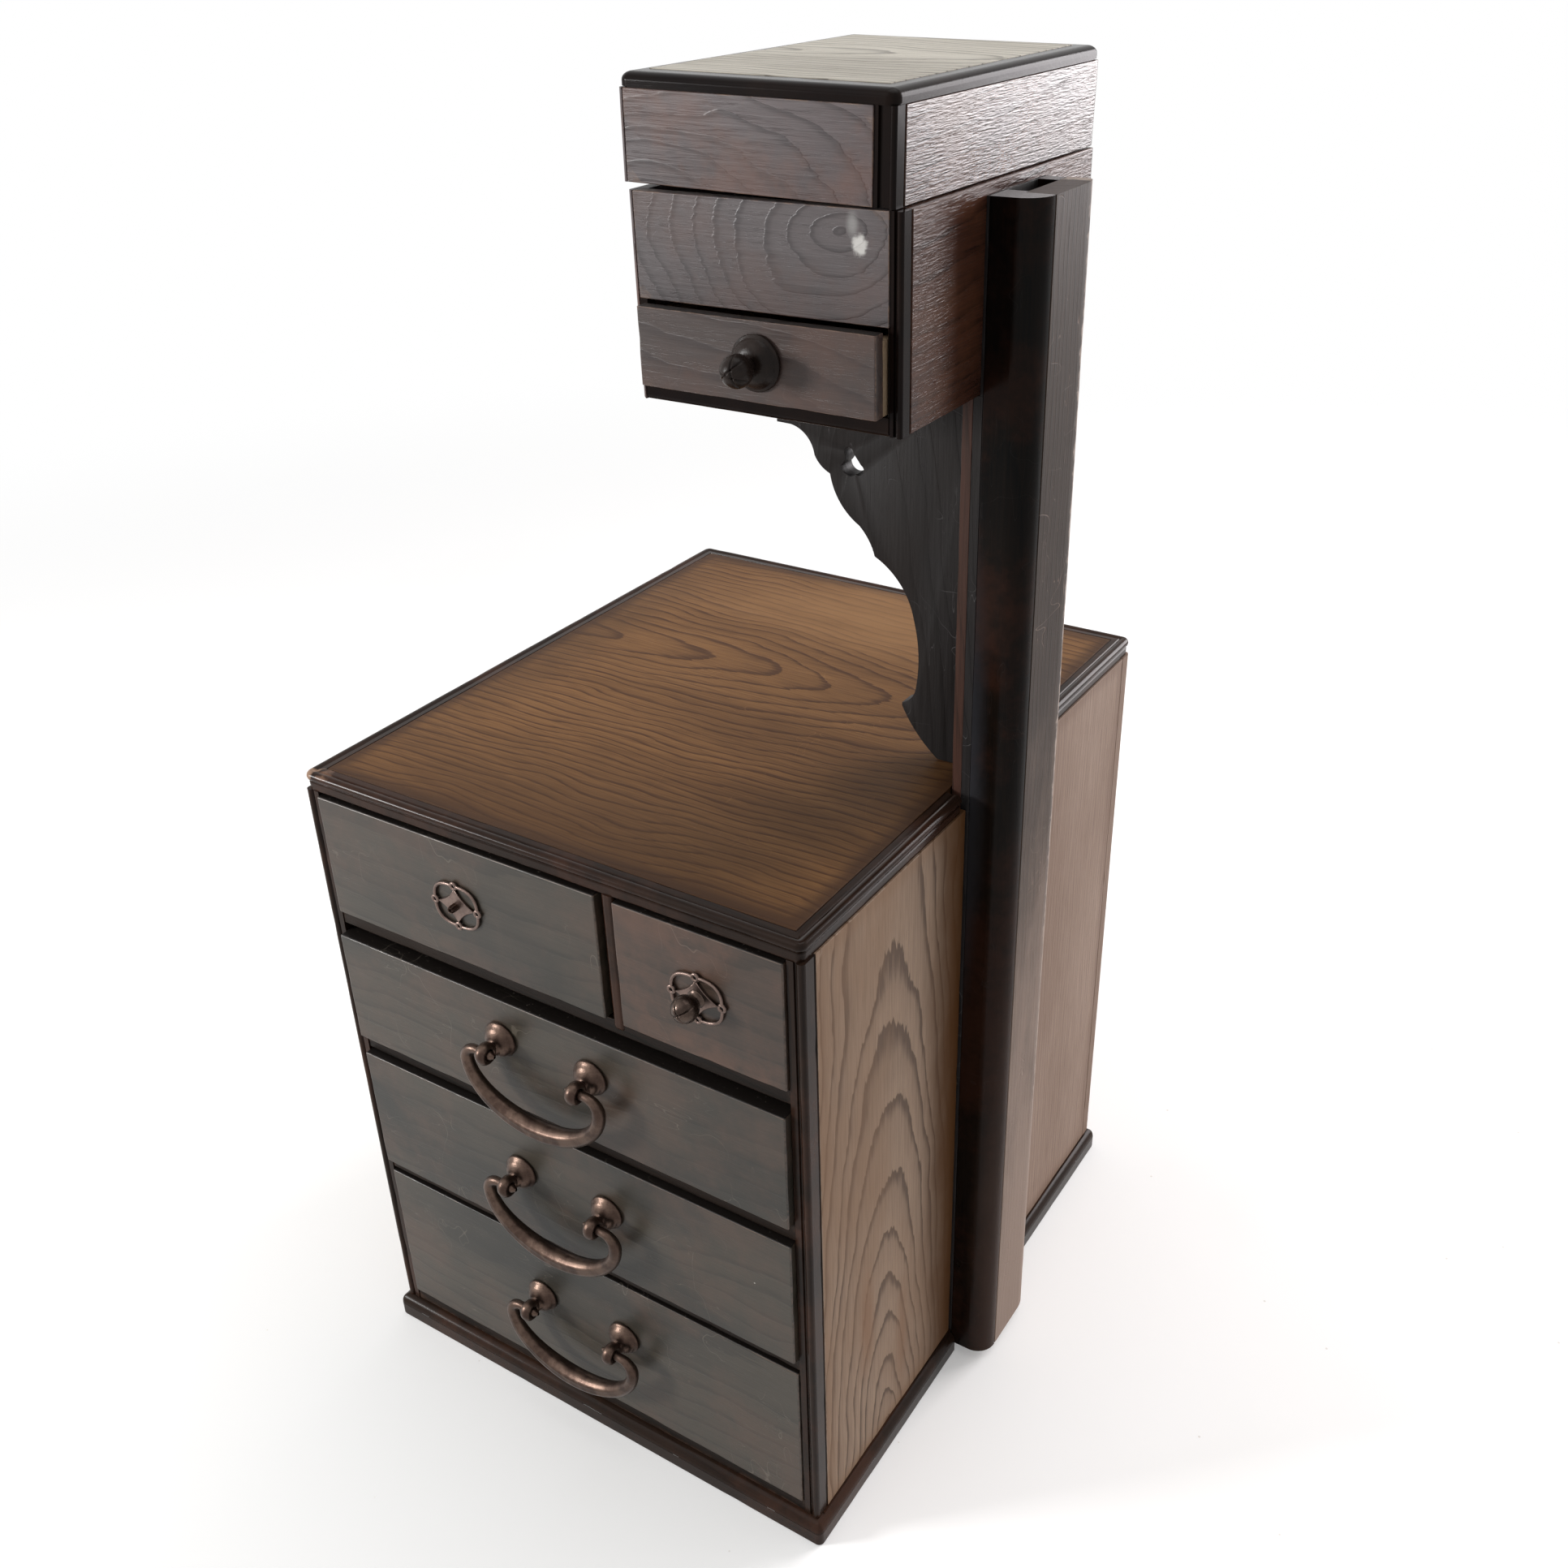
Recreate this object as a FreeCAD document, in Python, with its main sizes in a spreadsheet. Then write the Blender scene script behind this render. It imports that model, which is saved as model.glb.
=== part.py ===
import FreeCAD, Part
import math
import os
import Sketcher
from types import SimpleNamespace
from FreeCAD import Placement, Rotation, Vector

# Sewing box: a chest of drawers, a ruler post that slides into its right side,
# and a small lidded box that the post and its bracket carry above the chest.
# X runs to the right, Y to the back, Z up. The origin is the middle of the
# base's underside. Sizes are millimetres.

SIZES = {
    # chest, over its mouldings
    "chest_width": 220.0,
    "chest_depth": 261.4,
    "chest_height": 284.3,
    "base_height": 11.5,
    "base_lip": 3.1,
    "base_back_lip": 1.5,
    "base_round": 4.5,
    "top_thickness": 7.3,
    "top_edge_round": 2.6,
    "stile_width": 6.5,
    "stile_depth": 7.5,
    "corner_round": 2.4,
    "quirk_radius": 0.7,
    "inner_wall_thickness": 3.9,
    "back_thickness": 5.0,
    "back_recess": 1.0,
    "rail_depth": 14.0,
    "rail_recess": 0.8,
    "runner_width": 10.0,
    "shelf_thickness": 4.0,
    # heights up the front, from the base to the top
    "bottom_rail_height": 6.0,
    "deep_opening": 73.5,
    "lower_rail_height": 6.0,
    "third_opening": 59.5,
    "middle_rail_height": 8.0,
    "second_opening": 53.5,
    "upper_rail_height": 6.2,
    "divider_thickness": 5.0,
    "divider_place": 142.8,
    # drawers
    "drawer_gap": 0.3,
    "front_thickness": 10.0,
    "drawer_wall": 5.0,
    "drawer_floor": 3.0,
    "drawer_floor_rise": 2.0,
    "drawer_back_gap": 5.4,
    "side_drop": 3.0,
    "small_proud": 1.0,
    "second_proud": 3.0,
    "third_proud": 2.3,
    "deep_proud": 0.5,
    "small_head_gap": 1.1,
    "second_head_gap": 3.2,
    "third_head_gap": 0.6,
    "deep_head_gap": 0.7,
    "front_round": 0.6,
    # ruler post
    "post_setback": 109.2,
    "front_stile_depth": 11.5,
    "slot_length": 21.5,
    "back_stile_depth": 6.5,
    "slot_width": 7.0,
    "outer_board_thickness": 10.0,
    "inner_board_proud": 1.0,
    "post_foot": 5.0,
    "post_drop": 3.3,
    "post_round": 8.5,
    "post_back_round": 3.0,
    "stop_height": 8.0,
    "tongue_foot_gap": 0.5,
    "flange_width": 3.0,
    "flange_thickness": 2.4,
    "slide_gap": 0.3,
    "bracket_height": 141.6,
    "bracket_reach": 80.4,
    "bracket_thickness": 7.0,
    # upper box and its lid
    "box_setback": 59.1,
    "box_width": 93.1,
    "box_depth": 128.2,
    "box_height": 62.3,
    "box_wall": 4.5,
    "box_floor_thickness": 5.8,
    "box_shelf_thickness": 3.5,
    "box_opening": 25.3,
    "box_round": 1.8,
    "box_drawer_proud": 6.0,
    "box_drawer_head_gap": 0.7,
    "box_drawer_back_gap": 2.0,
    "box_drawer_wall": 4.0,
    "lid_height": 30.3,
    "lid_top_thickness": 5.0,
    "lid_gap": 0.3,
    "lid_turn": -1.0,
    "lid_tilt": 1.0,
    "lid_offset": 0.5,
    "lid_round": 2.2,
    # metal fittings
    "handle_offset": -1.0,
    "handle_spacing": 42.4,
    "second_handle_rise": 7.2,
    "third_handle_rise": 4.4,
    "deep_handle_rise": 7.0,
    "cap_radius": 6.8,
    "cap_height": 4.5,
    "eye_reach": 9.0,
    "eye_drop": 1.0,
    "eye_ring_radius": 3.3,
    "eye_wire_radius": 1.2,
    "eye_stem_radius": 1.8,
    "pin_gap": 0.3,
    "pin_stub": 4.5,
    "bail_half_width": 31.2,
    "bail_bend": 5.2,
    "bail_drop": 26.6,
    "bail_side_radius": 2.5,
    "bail_middle_radius": 3.9,
    "plate_half_width": 12.0,
    "plate_half_height": 10.2,
    "plate_thickness": 1.2,
    "knob_radius": 6.1,
    "knob_reach": 7.0,
    "knob_neck_radius": 2.4,
    "upper_knob_radius": 5.6,
    "upper_knob_reach": 10.5,
    "upper_knob_offset": 1.6,
    "rosette_radius": 7.8,
    "rosette_height": 2.8,
    "stub_radius": 1.3,
    "stub_length": 3.2,
}

document = FreeCAD.newDocument("sewing_box")
sheet = document.addObject("Spreadsheet::Sheet", "Sizes")
for row, (alias, number) in enumerate(SIZES.items(), start=1):
    sheet.set(f"A{row}", alias.replace("_", " "))
    sheet.set(f"B{row}", str(number))
    sheet.setAlias(f"B{row}", alias)
document.recompute()


class Term(str):
    """An expression of the sheet's cells, which can be added to and scaled."""

    def __add__(self, other):
        return Term(f"({self} + {other})")

    def __radd__(self, other):
        return Term(f"({other} + {self})")

    def __sub__(self, other):
        return Term(f"({self} - {other})")

    def __rsub__(self, other):
        return Term(f"({other} - {self})")

    def __mul__(self, other):
        return Term(f"({self} * {other})")

    __rmul__ = __mul__

    def __truediv__(self, other):
        return Term(f"({self} / {other})")

    def __neg__(self):
        return Term(f"(0 - {self})")


size = SimpleNamespace(**{alias: Term(f"Sizes.{alias}") for alias in SIZES})
zero = Term("0")
nodes = []


def number(term):
    """The present value of an expression."""
    return float(sheet.evalExpression(str(term)))


def point(x, y, z):
    return Vector(number(x), number(y), number(z))


def keep(item, node):
    """Give an object its node's name and keep it as a sub-part."""
    item.Label = node
    nodes.append(item)
    return item


def place(item, x=zero, y=zero, z=zero):
    for axis, term in zip("xyz", (x, y, z)):
        item.setExpression(f"Placement.Base.{axis}", str(term))
    return item


def box(name, x, y, z):
    """A plain board between low and high ends along each axis."""
    item = document.addObject("Part::Box", name)
    for length, (low, high) in zip(("Length", "Width", "Height"), (x, y, z)):
        item.setExpression(length, str(high - low))
    return place(item, x[0], y[0], z[0])


def board(node, x, y, z):
    return keep(box(node, x, y, z), node)


def group(node, parts):
    """Several separate pieces of one node."""
    item = document.addObject("Part::Compound", node)
    item.Links = parts
    return keep(item, node)


def cut(name, base, tool):
    item = document.addObject("Part::Cut", name)
    item.Base = base
    item.Tool = tool
    return item


def edges_at(shape, **where):
    """Numbers of the edges whose ends all lie at the given coordinates."""
    found = []
    for index, edge in enumerate(shape.Edges, start=1):
        ends = [vertex.Point for vertex in edge.Vertexes]
        if len(ends) == 2 and all(
            abs(getattr(end, axis) - number(term)) < 1e-4
            for end in ends
            for axis, term in where.items()
        ):
            found.append(index)
    return found


def rounded(name, base, radius, *places):
    """Round the edges of an object that lie at the given places."""
    document.recompute()
    item = document.addObject("Part::Fillet", name)
    item.Base = base
    chosen = sorted({index for where in places for index in edges_at(base.Shape, **where)})
    item.Edges = [(index, number(radius), number(radius)) for index in chosen]
    return item


def plane_of(body, role):
    return next(feature for feature in body.Origin.OriginFeatures if feature.Role == role)


def outline(body, name, role, corners, offset=zero):
    """A closed sketch through corners (x, y) or (x, y, via_x, via_y), the last an arc's end."""
    sketch = body.newObject("Sketcher::SketchObject", name)
    sketch.AttachmentSupport = [(plane_of(body, role), "")]
    sketch.MapMode = "FlatFace"
    sketch.setExpression("AttachmentOffset.Base.z", str(offset))
    add_loop(sketch, corners)
    return sketch


def add_loop(sketch, corners):
    first = sketch.GeometryCount
    here = [Vector(number(c[0]), number(c[1]), 0) for c in corners]
    arcs = {}
    for index, corner in enumerate(corners):
        start, end = here[index - 1], here[index]
        if len(corner) == 4:
            via = Vector(number(corner[2]), number(corner[3]), 0)
            sketch.addGeometry(Part.Arc(start, via, end), False)
            # a sketch counts every arc anticlockwise, so a clockwise one starts at its end
            arcs[index] = (via - start).cross(end - via).z < 0
        else:
            sketch.addGeometry(Part.LineSegment(start, end), False)
            arcs[index] = False
    count = len(corners)
    for index, corner in enumerate(corners):
        after = (index + 1) % count
        end_of_this = 1 if arcs[index] else 2
        start_of_next = 2 if arcs[after] else 1
        sketch.addConstraint(
            Sketcher.Constraint("Coincident", first + index, end_of_this, first + after, start_of_next)
        )
        for kind, term, value in (
            ("DistanceX", corner[0], here[index].x),
            ("DistanceY", corner[1], here[index].y),
        ):
            constraint = sketch.addConstraint(
                Sketcher.Constraint(kind, -1, 1, first + index, end_of_this, value)
            )
            sketch.setExpression(f"Constraints[{constraint}]", str(term))


def new_body(node):
    return keep(document.addObject("PartDesign::Body", node), node)


def pad(body, sketch, length, reverse=False):
    item = body.newObject("PartDesign::Pad", f"{sketch.Name}_pad")
    item.Profile = sketch
    item.setExpression("Length", str(length))
    item.Reversed = reverse
    return item


def body_fillet(body, radius, *places):
    """Round a body's present edges that lie at the given places."""
    document.recompute()
    tip = body.Tip
    chosen = sorted({index for where in places for index in edges_at(tip.Shape, **where)})
    item = body.newObject("PartDesign::Fillet", f"{body.Name}_round{len(body.Group)}")
    item.Base = (tip, [f"Edge{index}" for index in chosen])
    item.setExpression("Radius", str(radius))
    return item


def rectangle(x, y):
    return [(x[0], y[0]), (x[1], y[0]), (x[1], y[1]), (x[0], y[1])]


# Planes that the pieces share

left = -size.chest_width / 2
right = size.chest_width / 2
front = -size.chest_depth / 2
back = size.chest_depth / 2
chest_top = size.chest_height
top_under = chest_top - size.top_thickness
base_top = size.base_height

deep_z = base_top + size.bottom_rail_height
lower_rail_z = deep_z + size.deep_opening
third_z = lower_rail_z + size.lower_rail_height
middle_rail_z = third_z + size.third_opening
second_z = middle_rail_z + size.middle_rail_height
upper_rail_z = second_z + size.second_opening
small_z = upper_rail_z + size.upper_rail_height

inside_left = left + size.stile_width
front_right = right - size.stile_width
inside_right = front_right - size.inner_wall_thickness
inside_front = front + size.rail_depth
back_outer = back - size.back_recess
inside_back = back_outer - size.back_thickness
rear_stile = back - size.stile_depth
front_stile = front + size.stile_depth

post_front = front + size.post_setback
slot_front = post_front + size.front_stile_depth
slot_back = slot_front + size.slot_length
post_back = slot_back + size.back_stile_depth
post_middle = (post_front + post_back) / 2
casing_inner = right + size.inner_board_proud
slot_outer = casing_inner + size.slot_width
post_outer = slot_outer + size.outer_board_thickness
tongue_inner = front_right + size.slide_gap
flange_outer = tongue_inner + size.flange_thickness

box_left = right - size.box_width
box_front = front + size.box_setback
box_back = box_front + size.box_depth
box_floor_z = chest_top + size.bracket_height
box_top = box_floor_z + size.box_height
post_top = box_top - size.post_drop
box_inner_left = box_left + size.box_wall
box_inner_right = right - size.box_wall

divider_left = left + size.divider_place - size.divider_thickness / 2
divider_right = divider_left + size.divider_thickness


def make_base():
    """The base board, with a rounded upper edge and a notch that the post hangs in."""
    body = new_body("base_board")
    low_x = left - size.base_lip
    high_x = right + size.base_lip
    low_y = front - size.base_lip
    high_y = back + size.base_back_lip
    notch_x = right + size.inner_board_proud / 2
    notch = (post_front - size.slide_gap, post_back + size.slide_gap)
    corners = [(low_x, low_y), (high_x, low_y), (high_x, high_y), (low_x, high_y)]
    pad(body, outline(body, "base_outline", "XY_Plane", corners), base_top)
    body_fillet(
        body, size.base_round,
        {"z": base_top, "y": low_y}, {"z": base_top, "x": low_x}, {"z": base_top, "x": high_x},
    )
    notch_corners = rectangle((notch_x, high_x + size.base_lip), notch)
    pocket = body.newObject("PartDesign::Pocket", "base_notch")
    pocket.Profile = outline(body, "base_notch_outline", "XY_Plane", notch_corners)
    pocket.Type = "ThroughAll"
    pocket.Reversed = True
    board("bottom_board", (inside_left, front_right), (inside_front, inside_back), (base_top, deep_z))
    board("bottom_rail", (inside_left, front_right), (front + size.rail_recess, inside_front),
          (base_top, deep_z))


def corner_post(name, side, end, z):
    """A corner post with a rounded outer corner and a fine groove beside it on each face."""
    outer_x, inner_x = (left, inside_left) if side < 0 else (front_right, right)
    x = (outer_x, inner_x)
    y = (front, front_stile) if end < 0 else (rear_stile, back)
    blank = box(f"{name}_blank", x, y, z)
    corner_x = left if side < 0 else right
    corner_y = front if end < 0 else back
    corner = rounded(f"{name}_rounded", blank, size.corner_round, {"x": corner_x, "y": corner_y})
    if end > 0:
        return corner
    grooves = []
    inset = size.corner_round + size.quirk_radius
    centres = [
        (corner_x - side * inset, corner_y),
        (corner_x, corner_y - end * (size.stile_depth - size.quirk_radius)),
    ]
    for place_index, (x_place, y_place) in enumerate(centres):
        groove = document.addObject("Part::Cylinder", f"{name}_groove{place_index}")
        groove.setExpression("Radius", str(size.quirk_radius))
        groove.setExpression("Height", str(z[1] - z[0]))
        grooves.append(place(groove, x_place, y_place, z[0]))
    return cut(f"{name}_second_cut", cut(f"{name}_first_cut", corner, grooves[0]), grooves[1])


def make_carcass():
    z = (base_top, top_under)
    channel_front = post_front - size.slide_gap
    channel_back = post_back + size.slide_gap
    rebate_outer = flange_outer + size.slide_gap
    rebate_front = channel_front - size.flange_width
    rebate_back = channel_back + size.flange_width
    board("left_side", (left, inside_left), (front_stile, rear_stile), z)
    board("right_inner_wall", (inside_right, front_right), (inside_front, inside_back),
          (deep_z, top_under))
    for node, y, rebate in (
        ("right_front_panel", (front_stile, channel_front), (rebate_front, channel_front)),
        ("right_rear_panel", (channel_back, rear_stile), (channel_back, rebate_back)),
    ):
        blank = box(f"{node}_blank", (front_right, right), y, z)
        tool = box(f"{node}_rebate", (front_right, rebate_outer), rebate, z)
        keep(cut(node, blank, tool), node)
    board("back_panel", (inside_left, front_right), (inside_back, back_outer), z)
    group("front_posts", [corner_post(f"front_post{side}", side, -1, z) for side in (-1, 1)])
    group("rear_posts", [corner_post(f"rear_post{side}", side, 1, z) for side in (-1, 1)])
    rail_y = (front + size.rail_recess, inside_front)
    group("drawer_rails", [
        box(name, (inside_left, front_right), rail_y, ends)
        for name, ends in (
            ("lower_rail", (lower_rail_z, third_z)),
            ("middle_rail", (middle_rail_z, second_z)),
            ("upper_rail", (upper_rail_z, small_z)),
        )
    ])
    board("upper_shelf", (inside_left, inside_right), (inside_front, inside_back),
          (small_z - size.shelf_thickness, small_z))
    runners = []
    for name, top in (("third_runner", third_z), ("second_runner", second_z)):
        ends = (top - size.lower_rail_height, top)
        y = (inside_front, inside_back)
        runners.append(box(f"{name}_left", (inside_left, inside_left + size.runner_width), y, ends))
        runners.append(box(f"{name}_right", (inside_right - size.runner_width, inside_right), y, ends))
    group("drawer_runners", runners)
    divider_x = (divider_left, divider_right)
    divider = box("divider_blank", divider_x, (front + size.rail_recess / 2, inside_back),
                  (small_z, top_under))
    keep(rounded("drawer_divider", divider, size.front_round * 2,
                 {"x": divider_left, "y": front + size.rail_recess / 2},
                 {"x": divider_right, "y": front + size.rail_recess / 2}), "drawer_divider")


def make_top():
    """The top board inside a rounded moulding, which is open for the post's tongue and flanges."""
    z = (top_under, chest_top)
    inner_front = front + size.stile_width
    inner_back = back - size.stile_width
    notch_front = post_front - size.slide_gap * 2 - size.flange_width
    notch_back = post_back + size.slide_gap * 2 + size.flange_width
    board("top_panel", (inside_left, front_right), (inner_front, inner_back), z)
    edges = {
        "front": ((left, right), (front, inner_front), {"y": front}),
        "back": ((left, right), (inner_back, back), {"y": back}),
        "left": ((left, inside_left), (inner_front, inner_back), {"x": left}),
        "right_front": ((front_right, right), (inner_front, notch_front), {"x": right}),
        "right_rear": ((front_right, right), (notch_back, inner_back), {"x": right}),
    }
    strips = []
    for name, (x, y, outer) in edges.items():
        strip = box(f"top_edge_{name}_blank", x, y, z)
        arris = [{"z": chest_top, **outer}]
        if name in ("front", "back"):
            arris += [{"z": chest_top, "x": left}, {"z": chest_top, "x": right}]
        strips.append(rounded(f"top_edge_{name}", strip, size.top_edge_round, *arris))
    group("top_mouldings", strips)


def make_post():
    """The hollow ruler post: an inner board with a tongue, and a casing on its outside."""
    tongue_z = base_top + size.tongue_foot_gap
    tongue = box("tongue", (tongue_inner, casing_inner), (post_front, post_back), (tongue_z, box_floor_z))
    liner = box("slot_liner", (right, casing_inner), (post_front, post_back), (box_floor_z, post_top))
    flange = box("tongue_flange", (tongue_inner, flange_outer),
                 (post_front - size.flange_width, post_back + size.flange_width), (tongue_z, top_under))
    inner_board = document.addObject("Part::MultiFuse", "post_inner_board")
    inner_board.Shapes = [tongue, liner, flange]
    inner_board.Refine = True
    keep(inner_board, "post_inner_board")
    z = (size.post_foot, post_top)
    stile = box("front_stile_blank", (casing_inner, post_outer), (post_front, slot_front), z)
    keep(rounded("post_front_stile", stile, size.post_round, {"x": post_outer, "y": post_front}),
         "post_front_stile")
    outer = box("outer_board_blank", (slot_outer, post_outer), (slot_front, post_back), z)
    keep(rounded("post_outer_board", outer, size.post_back_round, {"x": post_outer, "y": post_back}),
         "post_outer_board")
    board("post_back_stile", (casing_inner, slot_outer), (slot_back, post_back), z)
    board("ruler_stop", (casing_inner, slot_outer), (slot_front, slot_back),
          (size.post_foot, size.post_foot + size.stop_height))


# The bracket's scroll, as shares of its reach from the post and of its height from the chest.
# Each row is the end of a stretch, and a third and fourth share are a point its arc passes.
SCROLL = [
    (1.0, 0.828),
    (0.930, 0.827),
    (0.810, 0.759, 0.851, 0.805),
    (0.732, 0.718, 0.775, 0.733),
    (0.586, 0.597, 0.659, 0.631),
    (0.508, 0.524, 0.543, 0.568),
    (0.310, 0.378, 0.383, 0.467),
    (0.294, 0.191, 0.284, 0.287),
    (0.364, 0.139, 0.317, 0.158),
    (0.364, 0.130),
    (0.178, 0.0, 0.316, 0.083),
]


def make_bracket():
    """The sawn bracket that ties the post's inner face to the upper box's floor."""
    body = new_body("bracket")

    def at(across, up):
        return (tongue_inner - size.bracket_reach * across, chest_top + size.bracket_height * up)

    corners = [at(0.0, 0.0), at(0.0, 1.0), at(1.0, 1.0)]
    for row in SCROLL:
        corners.append(at(*row[:2]) + (at(*row[2:]) if len(row) == 4 else ()))
    sketch = outline(body, "bracket_outline", "XZ_Plane", corners,
                     -(post_middle + size.bracket_thickness / 2))
    pad(body, sketch, size.bracket_thickness)
    # the pierced comma near the head of the scroll
    pocket = body.newObject("PartDesign::Pocket", "bracket_piercing")
    hole = [
        at(0.575, 0.752),
        at(0.600, 0.728) + at(0.572, 0.728),
        at(0.672, 0.745) + at(0.640, 0.722),
        at(0.655, 0.776) + at(0.655, 0.758),
        at(0.612, 0.779) + at(0.635, 0.792),
    ]
    pocket.Profile = outline(body, "bracket_piercing_outline", "XZ_Plane", hole)
    pocket.Type = "ThroughAll"
    pocket.Midplane = True


def make_box():
    y = (box_front, box_back)
    z = (box_floor_z, box_top)
    inner_y = box_back - size.box_wall
    inner_x = (box_inner_left, box_inner_right)
    opening_z = box_floor_z + size.box_floor_thickness
    panel_z = opening_z + size.box_opening
    for node, x, corner_x in (
        ("box_left_side", (box_left, box_inner_left), box_left),
        ("box_right_side", (box_inner_right, right), right),
    ):
        side = box(f"{node}_blank", x, y, z)
        places = [{"x": corner_x, "y": box_front}]
        if corner_x is box_left:
            places += [{"x": corner_x, "y": box_back}, {"x": corner_x, "z": box_floor_z}]
        keep(rounded(node, side, size.box_round, *places), node)
    board("box_floor", inner_x, y, (box_floor_z, opening_z))
    board("box_back", inner_x, (inner_y, box_back), (opening_z, box_top))
    board("box_front_panel", inner_x, (box_front, box_front + size.box_wall), (panel_z, box_top))
    board("box_shelf", inner_x, (box_front + size.box_wall, inner_y),
          (panel_z, panel_z + size.box_shelf_thickness))


def make_lid():
    """The lift-off lid, which sits a little askew, pivoted at its back right corner."""
    wall = size.box_wall
    low = -size.box_width
    deep = -size.box_depth
    under = size.lid_height - size.lid_top_thickness
    arris = size.lid_round
    pieces = {
        "lid_top": [(rectangle((low, zero), (deep, zero)), under, size.lid_top_thickness)],
        "lid_front": [(rectangle((low + wall, -wall), (deep, deep + wall)), zero, under)],
        "lid_back": [(rectangle((low + wall, -wall), (-wall, zero)), zero, under)],
        "lid_left_side": [(rectangle((low, low + wall), (deep, zero)), zero, under)],
        "lid_right_side": [(rectangle((-wall, zero), (deep, zero)), zero, under)],
    }
    for node, blocks in pieces.items():
        body = new_body(node)
        for corners, start, height in blocks:
            pad(body, outline(body, f"{node}_outline", "XY_Plane", corners, start), height)
        if node == "lid_top":
            corner = [{"x": x, "y": y} for x in (low, zero) for y in (deep, zero)]
            top = [{"z": size.lid_height, **side} for side in
                   ({"x": low}, {"x": zero}, {"y": deep}, {"y": zero})]
            body_fillet(body, arris, *corner, *top)
        elif node in ("lid_left_side", "lid_right_side"):
            x = low if node == "lid_left_side" else zero
            body_fillet(body, arris, {"x": x, "y": deep}, {"x": x, "y": zero})
        turn = Rotation(Vector(0, 0, 1), number(size.lid_turn))
        tilt = Rotation(Vector(0, 1, 0), number(size.lid_tilt))
        corner = point(right - size.lid_offset, box_back, box_top + size.lid_gap)
        body.Placement = Placement(corner, turn * tilt)


def make_drawer(name, x, box_x, opening, proud, head_gap, face, inner_end, wall):
    """One drawer: a front board and behind it a tray of two sides, a back and a floor."""
    low, high = opening
    floor_z = low + size.drawer_gap
    front_top = high - head_gap
    side_top = front_top - size.side_drop
    face_y = face - proud
    tray_y = face_y + size.front_thickness
    blank = box(f"{name}_front_blank", x, (face_y, tray_y), (floor_z, front_top))
    face_edges = [{"y": face_y, **edge} for edge in
                  ({"x": x[0]}, {"x": x[1]}, {"z": floor_z}, {"z": front_top})]
    keep(rounded(f"{name}_front", blank, size.front_round, *face_edges), f"{name}_front")
    inner = (box_x[0] + wall, box_x[1] - wall)
    floor_low = floor_z + size.drawer_floor_rise
    floor_high = floor_low + size.drawer_floor
    sides = [
        box(f"{name}_left_wall", (box_x[0], inner[0]), (tray_y, inner_end), (floor_z, side_top)),
        box(f"{name}_right_wall", (inner[1], box_x[1]), (tray_y, inner_end), (floor_z, side_top)),
    ]
    rear = box(f"{name}_rear_wall", inner, (inner_end - wall, inner_end), (floor_z, side_top))
    tray_floor = box(f"{name}_tray_floor", inner, (tray_y, inner_end - wall), (floor_low, floor_high))
    return face_y, (floor_z + front_top) / 2, sides, rear, tray_floor


def sphere_cap(name, radius, height, x, y, z):
    """A low dome on a drawer's face, its flat side at y."""
    ball_radius = (radius * radius + height * height) / (height * 2)
    ball = document.addObject("Part::Sphere", f"{name}_ball")
    ball.setExpression("Radius", str(ball_radius))
    place(ball, x, y - height + ball_radius, z)
    keep_side = box(f"{name}_space", (x - radius * 2, x + radius * 2), (y - radius * 2, y),
                    (z - radius * 2, z + radius * 2))
    item = document.addObject("Part::Common", f"{name}_dome")
    item.Base = ball
    item.Tool = keep_side
    return item


def rod(name, radius, start, length, direction):
    """A round rod from a start point along a direction."""
    item = document.addObject("Part::Cylinder", name)
    item.setExpression("Radius", str(radius))
    item.setExpression("Height", str(length))
    item.Placement = Placement(Vector(), Rotation(Vector(0, 0, 1), direction))
    return place(item, *start)


def make_handle(name, face_y, mount_z):
    """Two capped eyes on a drawer's face and the bail that hangs in them."""
    middle = size.handle_offset
    eye_y = face_y - size.eye_reach
    eye_z = mount_z - size.eye_drop
    mounts = []
    for side in (-1, 1):
        x = middle + size.handle_spacing / 2 * side
        part = f"{name}_mount{side}"
        ring = document.addObject("Part::Torus", f"{part}_ring")
        ring.setExpression("Radius1", str(size.eye_ring_radius))
        ring.setExpression("Radius2", str(size.eye_wire_radius))
        ring.Placement = Placement(Vector(), Rotation(Vector(0, 0, 1), Vector(1, 0, 0)))
        place(ring, x, eye_y, eye_z)
        stem_length = size.eye_reach - size.eye_ring_radius
        stem = rod(f"{part}_stem", size.eye_stem_radius, (x, face_y, eye_z), stem_length,
                   Vector(0, -1, 0))
        mount = document.addObject("Part::MultiFuse", part)
        mount.Shapes = [sphere_cap(part, size.cap_radius, size.cap_height, x, face_y, mount_z),
                        stem, ring]
        mounts.append(mount)
    group(f"{name}_handle_mounts", mounts)
    make_bail(f"{name}_bail", middle, eye_y, eye_z)


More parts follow.
